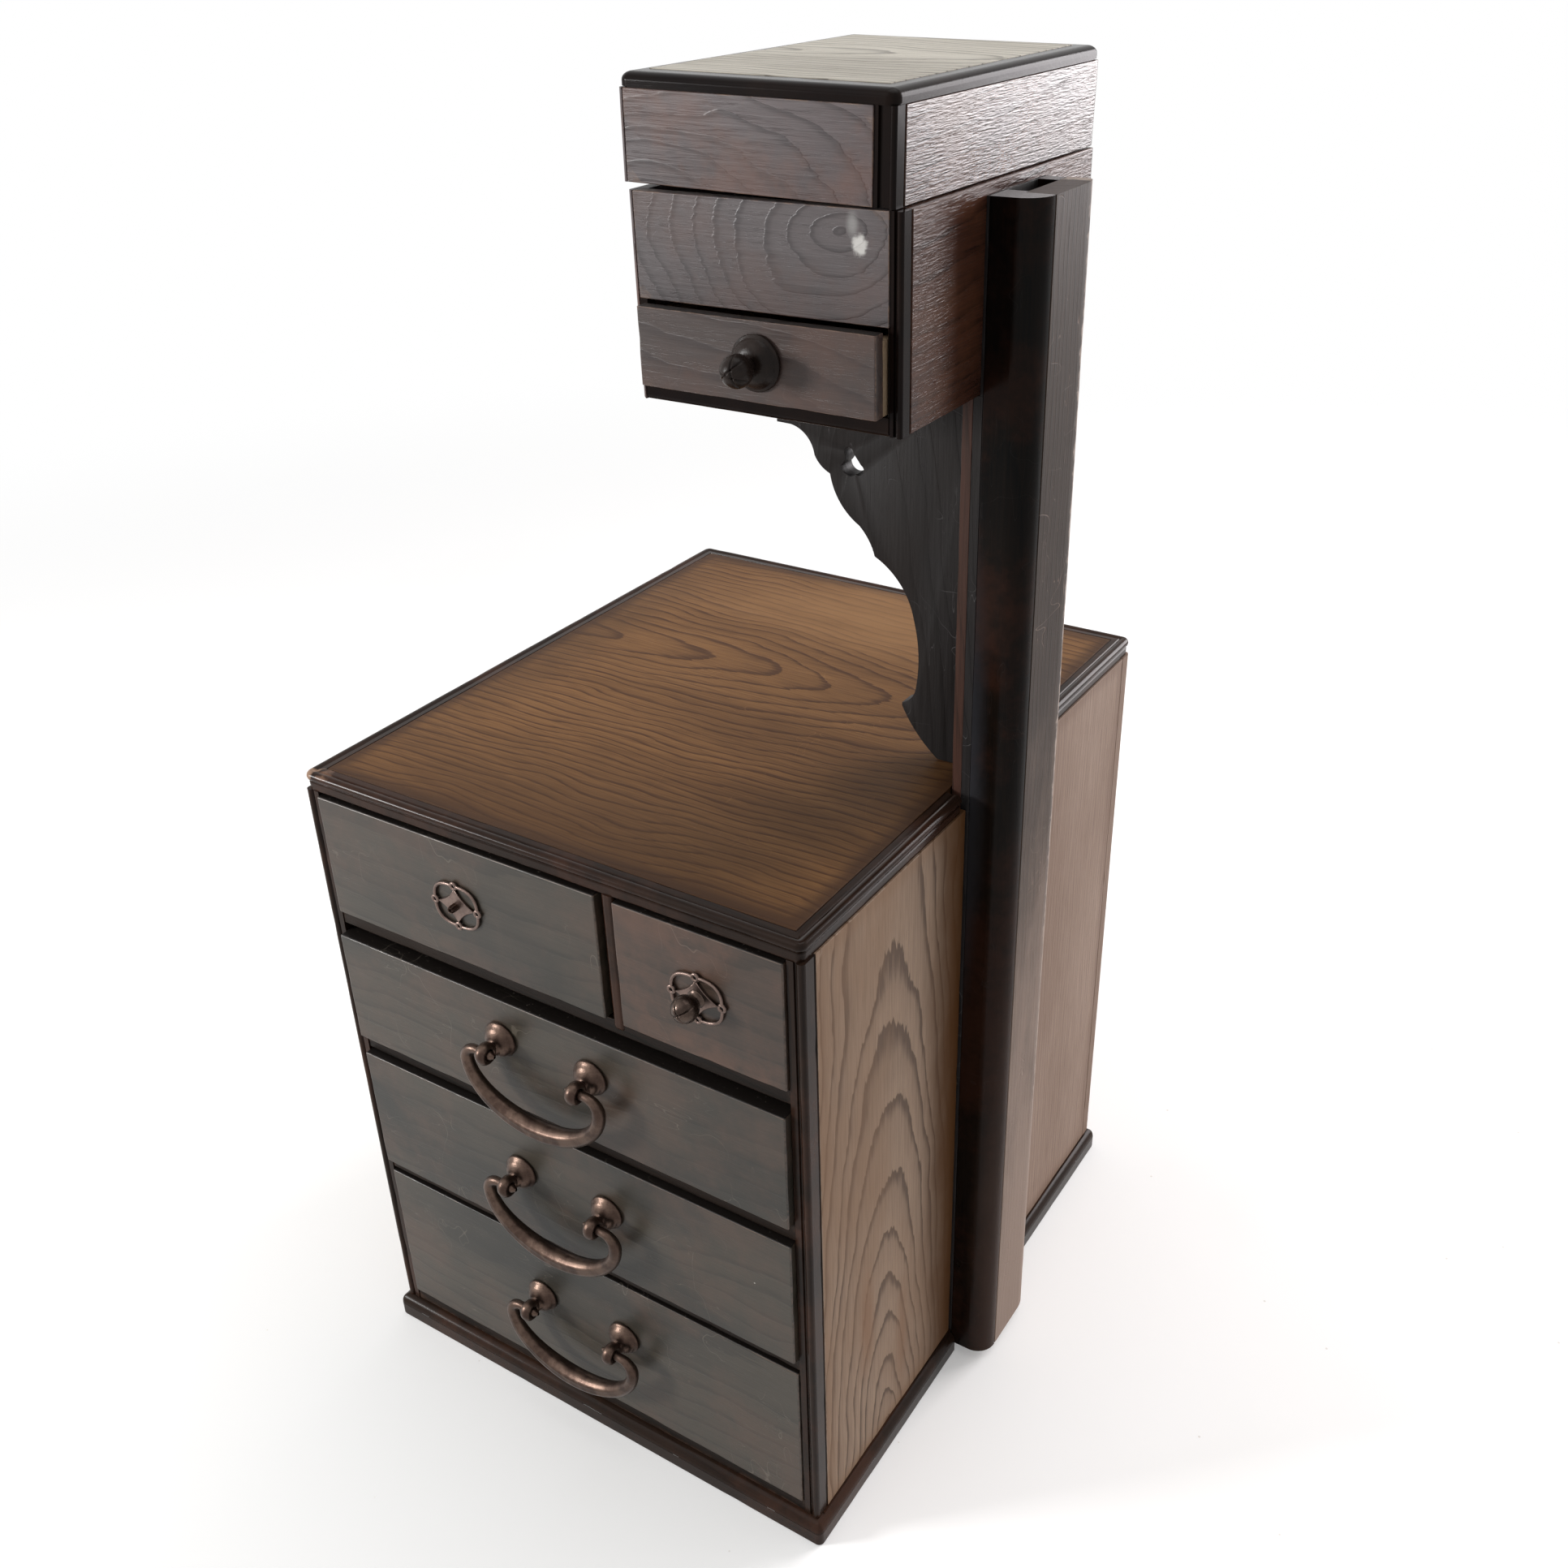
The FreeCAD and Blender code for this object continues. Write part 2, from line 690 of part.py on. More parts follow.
def make_bail(node, x, y, z):
    """A swelled bar bent down from its pins: straight, a quarter turn, and half an ellipse."""
    half = number(size.bail_half_width)
    bend = number(size.bail_bend)
    drop = number(size.bail_drop)
    pin = number(size.eye_ring_radius - size.eye_wire_radius - size.pin_gap)
    pin_end = number(size.handle_spacing / 2 - size.pin_stub)
    corner = half - bend
    diagonal = bend * 0.5 ** 0.5
    ellipse = Part.Ellipse(Vector(-half, 0, -bend), Vector(0, 0, -drop), Vector(0, 0, -bend))
    path = Part.Wire([
        Part.makeLine(Vector(-pin_end, 0, 0), Vector(-corner, 0, 0)),
        Part.Arc(Vector(-corner, 0, 0), Vector(-corner - diagonal, 0, diagonal - bend),
                 Vector(-half, 0, -bend)).toShape(),
        Part.ArcOfEllipse(ellipse, 0, math.pi).toShape(),
        Part.Arc(Vector(half, 0, -bend), Vector(corner + diagonal, 0, diagonal - bend),
                 Vector(corner, 0, 0)).toShape(),
        Part.makeLine(Vector(corner, 0, 0), Vector(pin_end, 0, 0)),
    ])
    side = number(size.bail_side_radius)
    middle = number(size.bail_middle_radius)
    sections = [
        ring_section(Vector(-pin_end, 0, 0), Vector(-1, 0, 0), pin),
        ring_section(Vector(-corner, 0, 0), Vector(-1, 0, 0), pin),
        ring_section(Vector(-half, 0, -bend), Vector(0, 0, -1), side),
        ring_section(Vector(0, 0, -drop), Vector(1, 0, 0), middle),
        ring_section(Vector(half, 0, -bend), Vector(0, 0, 1), side),
        ring_section(Vector(corner, 0, 0), Vector(-1, 0, 0), pin),
        ring_section(Vector(pin_end, 0, 0), Vector(-1, 0, 0), pin),
    ]
    bail = document.addObject("Part::Feature", node)
    bail.Shape = path.makePipeShell(sections, True, False)
    place(bail, x, y, z)
    keep(bail, node)


def ring_section(centre, direction, radius):
    """A circle across a direction that lies in the XZ plane, always begun on its back side."""
    rear = Vector(0, radius, 0)
    aside = direction.cross(rear)
    circle = Part.Circle(centre + rear, centre + aside, centre - rear)
    return Part.Wire([circle.toShape()])


def make_plate(node, x, y, z):
    """An openwork plate: a rim of four arcs, a diamond with hollow sides, and four eyelets."""
    body = new_body(node)
    wide = size.plate_half_width
    tall = size.plate_half_height
    tips = [(0, 1), (1, 0), (0, -1), (-1, 0)]
    bulge = 0.745
    inner_bulge = 0.640
    hollow = 0.345
    near = 0.13
    rim = []
    for index, tip in enumerate(tips):
        before = tips[index - 1]
        via = (before[0] + tip[0], before[1] + tip[1])
        rim.append((wide * tip[0], tall * tip[1], wide * (via[0] * bulge), tall * (via[1] * bulge)))
    sketch = outline(body, f"{node}_outline", "XZ_Plane", rim)
    for index, tip in enumerate(tips):
        before = tips[index - 1]
        via = (before[0] + tip[0], before[1] + tip[1])
        start = [before[axis] * (1 - near) + tip[axis] * near for axis in (0, 1)]
        end = [before[axis] * near + tip[axis] * (1 - near) for axis in (0, 1)]
        add_loop(sketch, [
            (wide * start[0], tall * start[1],
             wide * (via[0] * hollow), tall * (via[1] * hollow)),
            (wide * end[0], tall * end[1],
             wide * (via[0] * inner_bulge), tall * (via[1] * inner_bulge)),
        ])
    pad(body, sketch, size.plate_thickness)
    return place(body, x, y, z)


def turned(node, x, y, z, profile):
    """A piece turned about a line that stands out of a drawer's face at (x, z)."""
    body = new_body(node)
    sketch = outline(body, f"{node}_profile", "XY_Plane", profile)
    item = body.newObject("PartDesign::Revolution", f"{node}_turn")
    item.Profile = sketch
    item.ReferenceAxis = (sketch, ["V_Axis"])
    item.Angle = 360
    return place(body, x, y, z)


def make_drawers():
    full_x = (inside_left + size.drawer_gap, front_right - size.drawer_gap)
    tray_right = inside_right - size.drawer_gap
    rear = inside_back - size.drawer_back_gap
    wall = size.drawer_wall
    rows = {
        "deep": ((deep_z, lower_rail_z), size.deep_proud, size.deep_head_gap, size.deep_handle_rise),
        "third": ((third_z, middle_rail_z), size.third_proud, size.third_head_gap,
                  size.third_handle_rise),
        "second": ((second_z, upper_rail_z), size.second_proud, size.second_head_gap,
                   size.second_handle_rise),
    }
    for name, (opening, proud, head_gap, rise) in rows.items():
        face_y, middle_z, sides, back_wall, tray_floor = make_drawer(
            f"{name}_drawer", full_x, (full_x[0], tray_right), opening, proud, head_gap,
            front, rear, wall)
        group(f"{name}_drawer_walls", sides + [back_wall])
        keep(tray_floor, f"{name}_drawer_floor")
        make_handle(name, face_y, middle_z + rise)
    small = {
        "left": ((full_x[0], divider_left - size.drawer_gap),
                 (full_x[0], divider_left - size.drawer_gap)),
        "right": ((divider_right + size.drawer_gap, full_x[1]),
                  (divider_right + size.drawer_gap, tray_right)),
    }
    for name, (x, tray_x) in small.items():
        face_y, middle_z, sides, back_wall, tray_floor = make_drawer(
            f"{name}_drawer", x, tray_x, (small_z, top_under), size.small_proud,
            size.small_head_gap, front, rear, wall)
        group(f"{name}_drawer_tray", sides + [back_wall, tray_floor])
        middle_x = (x[0] + x[1]) / 2
        make_plate(f"{name}_plate", middle_x, face_y, middle_z)
        outside = face_y - size.plate_thickness
        if name == "left":
            stub = rod("screw_stub", size.stub_radius, (middle_x, outside, middle_z),
                       size.stub_length, Vector(0, -1, 0))
            keep(stub, "screw_stub")
        else:
            neck = size.knob_neck_radius
            ball = size.knob_radius
            reach = size.knob_reach - size.plate_thickness
            knob_profile = ball_profile(neck, ball, reach)
            turned("ball_knob", middle_x, outside, middle_z, knob_profile)


def ball_profile(neck, ball, reach):
    """Half the section of a ball on a neck, standing along -Y from the origin."""
    meet = Term(f"sqrt({ball * ball - neck * neck})")
    return [
        (zero, zero),
        (neck, zero),
        (neck, -(reach - meet)),
        (zero, -(reach + ball), ball, -reach),
    ]


def make_upper_drawer():
    opening = (box_floor_z + size.box_floor_thickness,
               box_floor_z + size.box_floor_thickness + size.box_opening)
    x = (box_inner_left + size.drawer_gap, box_inner_right - size.drawer_gap)
    rear = box_back - size.box_wall - size.box_drawer_back_gap
    face_y, middle_z, sides, back_wall, tray_floor = make_drawer(
        "upper_drawer", x, x, opening, size.box_drawer_proud, size.box_drawer_head_gap,
        box_front, rear, size.box_drawer_wall)
    group("upper_drawer_tray", sides + [back_wall, tray_floor])
    middle_x = (x[0] + x[1]) / 2 + size.upper_knob_offset
    height = size.rosette_height
    radius = size.rosette_radius
    neck = size.knob_neck_radius
    turned("upper_rosette", middle_x, face_y, middle_z, [
        (zero, zero),
        (radius, zero),
        (neck, -height, radius * 0.8, -(height * 0.72)),
        (zero, -height),
    ])
    turned("upper_knob", middle_x, face_y - height, middle_z,
           ball_profile(neck, size.upper_knob_radius, size.upper_knob_reach - height))


make_base()
make_carcass()
make_top()
make_post()
make_bracket()
make_box()
make_lid()
make_drawers()
make_upper_drawer()
document.recompute()

for item in document.Objects:
    if "Invalid" in item.State or "Error" in item.State:
        raise SystemExit(f"{item.Label} failed: {item.State}")
for item in nodes:
    if item.Shape.isNull() or not item.Shape.isValid():
        raise SystemExit(f"{item.Label} has no valid shape")

os.makedirs("parts", exist_ok=True)
for item in nodes:
    item.Shape.exportStep(f"parts/{item.Label}.step")
    solids = item.Shape.Solids
    print(item.Label, len(solids), "solids,", round(item.Shape.Volume), "mm3")
print(len(nodes), "nodes")
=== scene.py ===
import math

import bpy
import numpy as np
from mathutils import Euler, Matrix, Vector, noise


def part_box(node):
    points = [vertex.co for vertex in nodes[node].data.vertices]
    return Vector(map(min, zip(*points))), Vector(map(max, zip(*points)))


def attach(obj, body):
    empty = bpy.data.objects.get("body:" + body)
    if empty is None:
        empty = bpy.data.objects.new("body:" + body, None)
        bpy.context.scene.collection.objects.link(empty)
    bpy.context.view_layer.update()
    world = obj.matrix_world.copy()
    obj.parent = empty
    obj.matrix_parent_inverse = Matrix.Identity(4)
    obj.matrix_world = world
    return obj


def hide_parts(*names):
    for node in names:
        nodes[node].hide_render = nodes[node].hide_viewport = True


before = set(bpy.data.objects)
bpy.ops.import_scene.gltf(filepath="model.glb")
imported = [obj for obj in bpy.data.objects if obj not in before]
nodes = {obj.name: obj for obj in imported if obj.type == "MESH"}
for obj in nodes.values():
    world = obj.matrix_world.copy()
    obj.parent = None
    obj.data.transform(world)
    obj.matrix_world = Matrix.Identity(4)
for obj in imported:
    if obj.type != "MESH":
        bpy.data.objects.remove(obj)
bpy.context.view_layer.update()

MM = 0.001


def span(node):
    """Lowest and highest corner of a node in millimetres."""
    low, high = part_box(node)
    return np.array(low) / MM, np.array(high) / MM


# Places that the pieces share, in millimetres

chest_low, chest_high = span("top_mouldings")
LEFT, FRONT, UNDER = chest_low
RIGHT, BACK, TOP = chest_high
base_low, base_high = span("base_board")
post_low, post_high = span("post_front_stile")
POST_FRONT = post_low[1]
POST_BACK = span("post_outer_board")[1][1]
CASING = post_low[0]
POST_OUT = post_high[0]
SLOT_OUT = span("post_outer_board")[0][0]
SLOT_FRONT = post_high[1]
side_low, side_high = span("box_left_side")
BOX_LEFT, BOX_FRONT, BOX_LOW = side_low
BOX_BACK, BOX_TOP = side_high[1:]


# Sizes that several pieces share, in millimetres

WALL = 6.5
CORNER_DEEP = 7.5
MOULDING_GAP = 3.6
SEAM = 9.2
BOX_WALL = 4.5
BOX_BOARD = 4.4
STRIP_DEEP = 5.8
FAR_FROM_EDGE = 4.0


# Meshes

def mark(mesh, wood, edge, seed):
    """Keep each point's place in its piece of wood, its distance from the edge and the piece's seed."""
    for label, kind, field, values in (
        ("wood", "FLOAT_VECTOR", "vector", wood),
        ("edge", "FLOAT", "value", edge),
        ("seed", "FLOAT", "value", seed),
    ):
        attribute = mesh.attributes.new(label, kind, "POINT")
        attribute.data.foreach_set(field, np.asarray(values, np.float32).reshape(-1))


def points_of(mesh):
    """The points of a mesh in millimetres."""
    places = np.empty(len(mesh.vertices) * 3, np.float32)
    mesh.vertices.foreach_get("co", places)
    return places.reshape(-1, 3) / MM


def in_scene(name, data):
    """A new object with the given data, linked to the scene."""
    item = bpy.data.objects.new(name, data)
    bpy.context.scene.collection.objects.link(item)
    return item


class Shell:
    """A mesh in the making, with the place of each point in its piece of wood."""

    def __init__(self):
        self.points, self.normals, self.wood, self.edge, self.seed = [], [], [], [], []
        self.faces = []
        self.count = 0

    def add(self, points, normals, wood, edge, seed, faces):
        size = len(points)
        self.points.append(points)
        self.normals.append(normals)
        self.wood.append(wood)
        self.edge.append(np.broadcast_to(edge, (size,)))
        self.seed.append(np.full(size, float(seed)))
        self.faces += [[index + self.count for index in face] for face in faces]
        self.count += size

    def grid(self, points, normals, wood, edge, seed, flip=False):
        rows, columns = points.shape[:2]
        faces = []
        for row in range(rows - 1):
            for column in range(columns - 1):
                start = row * columns + column
                quad = [start, start + columns, start + columns + 1, start + 1]
                faces.append(quad[::-1] if flip else quad)
        edge = np.broadcast_to(edge, (rows, columns)).reshape(-1)
        self.add(points.reshape(-1, 3), normals.reshape(-1, 3), wood.reshape(-1, 3), edge, seed, faces)

    def build(self, name, material, body, node=None, move=None):
        """Make the piece. It replaces the node, which it hides, where one is given."""
        points = np.concatenate(self.points)
        normals = np.concatenate(self.normals)
        lengths = np.linalg.norm(normals, axis=1, keepdims=True)
        normals = normals / np.where(lengths > 1e-9, lengths, 1.0)
        mesh = bpy.data.meshes.new(name)
        mesh.from_pydata((points * MM).tolist(), [], self.faces)
        mark(mesh, np.concatenate(self.wood), np.concatenate(self.edge), np.concatenate(self.seed))
        mesh.shade_smooth()
        if move is not None:
            mesh.transform(move)
            normals = normals @ np.array(move.to_3x3()).T
        mesh.normals_split_custom_set_from_vertices(normals.tolist())
        mesh.materials.append(material)
        piece = in_scene(name, mesh)
        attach(piece, body)
        if node:
            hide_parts(node)


# Where grid lines stand in a rounding, and how far apart they are along columns and mouldings
ROUNDING = np.array([0.0, 0.423, 0.732, 1.0])
LONG_STEP = 6.0


def ticks(low, high, round_low, round_high, step):
    """Places of the grid lines along one axis, close together in the rounded ends."""
    start = low + round_low * ROUNDING if round_low else np.array([low])
    stop = (high - round_high * ROUNDING)[::-1] if round_high else np.array([high])
    count = max(1, int(round((stop[0] - start[-1]) / step)))
    return np.concatenate([start, np.linspace(start[-1], stop[0], count + 1)[1:-1], stop])


def rounds(radius=0.4, **others):
    """Radii at the low and high end of each axis, such as x1=2.4 for the high X side."""
    table = np.full((3, 2), float(radius))
    for key, value in others.items():
        table["xyz".index(key[0]), int(key[1])] = value
    return table


def block(shell, low, high, radii=0.4, grain=0, seed=0.0, step=5.0, wear=0.12, dark_top=False):
    """A board with rounded and worn edges. Grain is the axis that the wood runs along."""
    low, high = np.array(low, float), np.array(high, float)
    radii = radii if isinstance(radii, np.ndarray) else rounds(radii)
    lines = [ticks(low[a], high[a], radii[a, 0], radii[a, 1], step) for a in range(3)]
    centre = (low + high) / 2
    others = sorted([a for a in range(3) if a != grain], key=lambda a: low[a] - high[a])
    order = [grain] + others
    for axis in range(3):
        across, up = (axis + 1) % 3, (axis + 2) % 3
        for side in (0, 1):
            grid = np.empty((len(lines[across]), len(lines[up]), 3))
            grid[..., axis] = (low, high)[side][axis]
            grid[..., across] = lines[across][:, None]
            grid[..., up] = lines[up][None, :]
            inner = np.clip(grid, low + radii[:, 0], high - radii[:, 1])
            apart = grid - inner
            reach = np.where(apart < 0, radii[:, 0], radii[:, 1])
            unit = np.where(np.abs(apart) > 1e-9, apart / np.where(reach > 0, reach, 1.0), 0.0)
            length = np.linalg.norm(unit, axis=-1, keepdims=True)
            largest = np.abs(unit).max(axis=-1, keepdims=True)
            safe = np.where(length > 1e-9, length, 1.0)
            if radii[axis, side] > 0:
                unit = unit / safe
                normal = unit / np.where(reach > 0, reach, 1.0)
            else:
                unit = unit * largest / safe
                normal = np.zeros_like(grid)
                normal[..., axis] = (-1, 1)[side]
            points = inner + unit * reach
            edge = np.minimum(*[np.minimum(grid[..., a] - low[a], high[a] - grid[..., a])
                                for a in (across, up)])
            if wear:
                points = worn(points, unit, edge, wear, seed)
            wood = (points - centre)[..., order]
            # A drawer front's top face sits in the shaded gap under the rail, so it is flagged for painted
            # shade with dust.
            if dark_top and axis == 2 and side == 1:
                edge = np.full_like(edge, -10.0)
            shell.grid(points, normal, wood, edge, seed, flip=side == 0)


def board(name, material, body, node, low, high, *shape, move=None, slot=None, **settings):
    """A piece that is a single block."""
    shell = Shell()
    block(shell, low, high, *shape, **settings)
    shell.build(name, material, body, node, move)


def worn(points, direction, edge, amount, seed):
    """Push the points near an edge inwards here and there, as knocks and rubbing do."""
    shape = points.shape
    flat = points.reshape(-1, 3)
    push = np.zeros(len(flat))
    for index in np.flatnonzero(edge.reshape(-1) < 1.0):
        place = Vector(flat[index])
        soft = noise.noise(place * 0.09 + Vector((seed, 0, 0)))
        sharp = noise.noise(place * 0.45 + Vector((0, seed, 0)))
        push[index] = amount * (max(0.0, soft) * 1.2 + max(0.0, sharp - 0.25) * 3.0)
    return points - direction * push.reshape(shape[:-1] + (1,))


def arc(x, y, radius, start, end, count=7, other=None):
    """Points of an arc in degrees, or of an ellipse with another radius upwards."""
    turns = np.radians(np.linspace(start, end, count))
    tall = radius if other is None else other
    return [(x + radius * math.cos(t), y + tall * math.sin(t)) for t in turns]


def sides(*points):
    """Straight runs from each point to the next."""
    return [[start, end] for start, end in zip(points, points[1:])]


def resample(run):
    """A run with points added near the ends of its straight stretches."""
    run = np.array(run, float)
    if len(run) > 2:
        return run
    return np.array([run[0], run[0] * 0.9 + run[1] * 0.1, run[0] * 0.1 + run[1] * 0.9, run[1]])


def column(shell, runs, low, high, seed=0.0, wear=0.0, across=1):
    """An upright piece from its outline, anticlockwise from above. Each run is smooth in itself."""
    heights = ticks(low, high, 0.5, 0.5, LONG_STEP)
    places = np.array([point for run in runs for point in run])
    middle = (places.min(axis=0) + places.max(axis=0)) / 2
    outline = []
    for run in runs:
        run = resample(run)
        outline += run.tolist()
        along = np.gradient(run, axis=0)
        normal = np.stack([along[:, 1], -along[:, 0], np.zeros(len(run))], axis=1)
        normal /= np.linalg.norm(normal, axis=1, keepdims=True) + 1e-12
        points = np.empty((len(run), len(heights), 3))
        points[..., :2] = run[:, None, :]
        points[..., 2] = heights[None, :]
        normals = np.broadcast_to(normal[:, None, :], points.shape).copy()
        if wear:
            points = worn(points, normals, np.zeros(points.shape[:2]), wear, seed)
        wood = np.stack([
            points[..., 2] - (low + high) / 2,
            points[..., across] - middle[across],
            points[..., 1 - across] - middle[1 - across],
        ], axis=-1)
        shell.grid(points, normals, wood, FAR_FROM_EDGE, seed)
    count = len(outline)
    for height, direction in ((low, -1.0), (high, 1.0)):
        points = np.array([[x, y, height] for x, y in outline])
        wood = np.stack([points[:, 2] - (low + high) / 2, points[:, 1] - middle[1],
                         points[:, 0] - middle[0]], axis=-1)
        normal = np.tile([0.0, 0.0, direction], (count, 1))
        face = list(range(count))
        shell.add(points, normal, wood, 2.0, seed, [face if direction > 0 else face[::-1]])


def stations(corners, corner_radius, deepest):
    """Rows across a strip that runs along corners, anticlockwise from above, inwards to the left."""
    rows = []
    corners = np.array(corners, float)
    last_side = len(corners) - 2
    walked = 0.0
    for index in range(last_side + 1):
        start, end = corners[index], corners[index + 1]
        length = np.linalg.norm(end - start)
        along = (end - start) / length
        inward = np.array([-along[1], along[0]])
        first = deepest + 1 if index > 0 else 0.0
        last = length - deepest - 1 if index < last_side else length
        for distance in np.linspace(first, last, max(2, int((last - first) / LONG_STEP))):
            place = start + along * distance
            rows.append((walked + distance, lambda u, p=place, n=inward: p + u[:, None] * n))
        walked += length
        if index == last_side:
            break
        after = corners[index + 2] - end
        after = after / np.linalg.norm(after)
        for share in np.linspace(0, 1, 6):
            def bend(u, p=end, a=inward, b=np.array([-after[1], after[0]]), s=share):
                turn = -(a * math.cos(s * math.pi / 2) + b * math.sin(s * math.pi / 2))
                centre = p + (a + b) * corner_radius
                near = centre + np.maximum(corner_radius - u, 0)[:, None] * turn
                far = p + (a + b) * u[:, None]
                return np.where((u < corner_radius)[:, None], near, far)
            rows.append((walked + share - 0.5, bend))
    return rows


def strip(shell, corners, runs, top, corner_radius, seed=0.0, wear=0.0):
    """A moulding along corners. Its runs are (inwards, upwards) from the outer top edge."""
    deepest = max(point[0] for run in runs for point in run)
    rows = stations(corners, corner_radius, deepest)
    walk = np.array([row[0] for row in rows])
    for run in runs:
        run = resample(run)
        along = np.gradient(run, axis=0)
        flat = np.array([place(run[:, 0]) for _, place in rows])
        inward = np.gradient(flat, axis=0)
        side = np.stack([inward[..., 1], -inward[..., 0]], axis=-1)
        size = np.linalg.norm(side, axis=-1, keepdims=True)
        side = side / np.where(size > 1e-9, size, 1.0)
        height = np.broadcast_to((top + run[:, 1])[None, :, None], flat.shape[:2] + (1,))
        points = np.concatenate([flat, height], axis=-1)
        outward = along[:, 1] / (np.linalg.norm(along, axis=1) + 1e-12)
        upward = along[:, 0] / (np.linalg.norm(along, axis=1) + 1e-12)
        normals = np.concatenate([side * outward[None, :, None],
                                  np.broadcast_to(upward[None, :, None], side.shape[:2] + (1,))], axis=-1)
        if wear:
            points = worn(points, normals, np.zeros(points.shape[:2]), wear, seed)
        wood = np.stack(np.broadcast_arrays(walk[:, None], run[None, :, 1], run[None, :, 0]), axis=-1)
        shell.grid(points, normals, wood, FAR_FROM_EDGE, seed)
    outline = np.array([point for run in runs for point in run], float)
    count = len(outline)
    face = list(range(count))
    for (walked, place), outer, inner, turn in (
        (rows[0], corners[0], corners[1], 1), (rows[-1], corners[-1], corners[-2], -1)
    ):
        line = np.array(outer) - np.array(inner)
        line = line / np.linalg.norm(line)
        points = np.column_stack([place(outline[:, 0]), top + outline[:, 1]])
        normals = np.tile([line[0], line[1], 0.0], (count, 1))
        wood = np.column_stack([np.full(count, walked), outline[:, 1], outline[:, 0]])
        shell.add(points, normals, wood, 2.0, seed, [face[::turn]])


def lathe(shell, profile, place, axis=(0, -1, 0), seed=0.0, count=48, shape=None):
    """A turned piece. The profile is (radius, height) from its foot; its axis stands at place."""
    profile = np.array(profile, float)
    axis = Vector(axis).normalized()
    side = Vector((1, 0, 0)) if abs(axis.x) < 0.9 else Vector((0, 0, 1))
    across = axis.cross(side)
    along = np.gradient(profile, axis=0)
    turns = np.linspace(0, 2 * math.pi, count + 1)
    around = np.cos(turns)[:, None] * np.array(side) + np.sin(turns)[:, None] * np.array(across)
    points = (np.array(place) + around[:, None, :] * profile[None, :, :1]
              + np.array(axis) * profile[None, :, 1:])
    normals = around[:, None, :] * along[None, :, 1:] - np.array(axis) * along[None, :, :1]
    if shape is not None:
        points, normals = shape(points, normals)
        crossed = np.cross(np.gradient(points, axis=0), np.gradient(points, axis=1))
        length = np.linalg.norm(crossed, axis=-1, keepdims=True)
        facing = np.sign((crossed * normals).sum(axis=-1, keepdims=True))
        steady = (length > 1e-4) & (facing != 0)
        normals = np.where(steady, crossed * facing / np.where(length > 0, length, 1.0), normals)
    shell.grid(points, normals, points - np.array(place), FAR_FROM_EDGE, seed)


def tube(shell, centres, radii, seed=0.0, count=28, ridge=None):
    """A round bar along centres in an upright plane. Radii taper it, and ridge raises fine lines on it."""
    centres = np.array(centres, float)
    radii = np.array(radii, float)
    along = np.gradient(centres, axis=0)
    along /= np.linalg.norm(along, axis=1, keepdims=True)
    depth = np.array([0.0, 1.0, 0.0])
    inside = np.cross(along, depth)
    turns = np.linspace(0, 2 * math.pi, count + 1)
    ring = np.cos(turns)[None, :, None] * inside[:, None, :] + np.sin(turns)[None, :, None] * depth
    width = np.broadcast_to(radii[:, None], (len(centres), count + 1)).copy()
    if ridge is not None:
        width += ridge(np.linspace(0, 1, len(centres))[:, None], np.degrees(turns)[None, :])
    points = centres[:, None, :] + ring * width[..., None]
    distance = np.concatenate([[0], np.cumsum(np.linalg.norm(np.diff(centres, axis=0), axis=1))])
    wood = np.stack(np.broadcast_arrays(distance[:, None], np.degrees(turns)[None, :] * 0.05, width), axis=-1)
    rows = np.gradient(points, axis=0)
    columns = np.gradient(points, axis=1)
    columns[:, 0] = columns[:, -1] = points[:, 1] - points[:, -2]
    normals = np.cross(columns, rows)
    outward = np.sign((normals * ring).sum(axis=-1, keepdims=True))
    normals = normals * np.where(outward == 0, 1, outward)
    flip = float(np.cross(inside[0], depth) @ along[0]) > 0
    shell.grid(points, normals, wood, FAR_FROM_EDGE, seed, flip)


# Materials

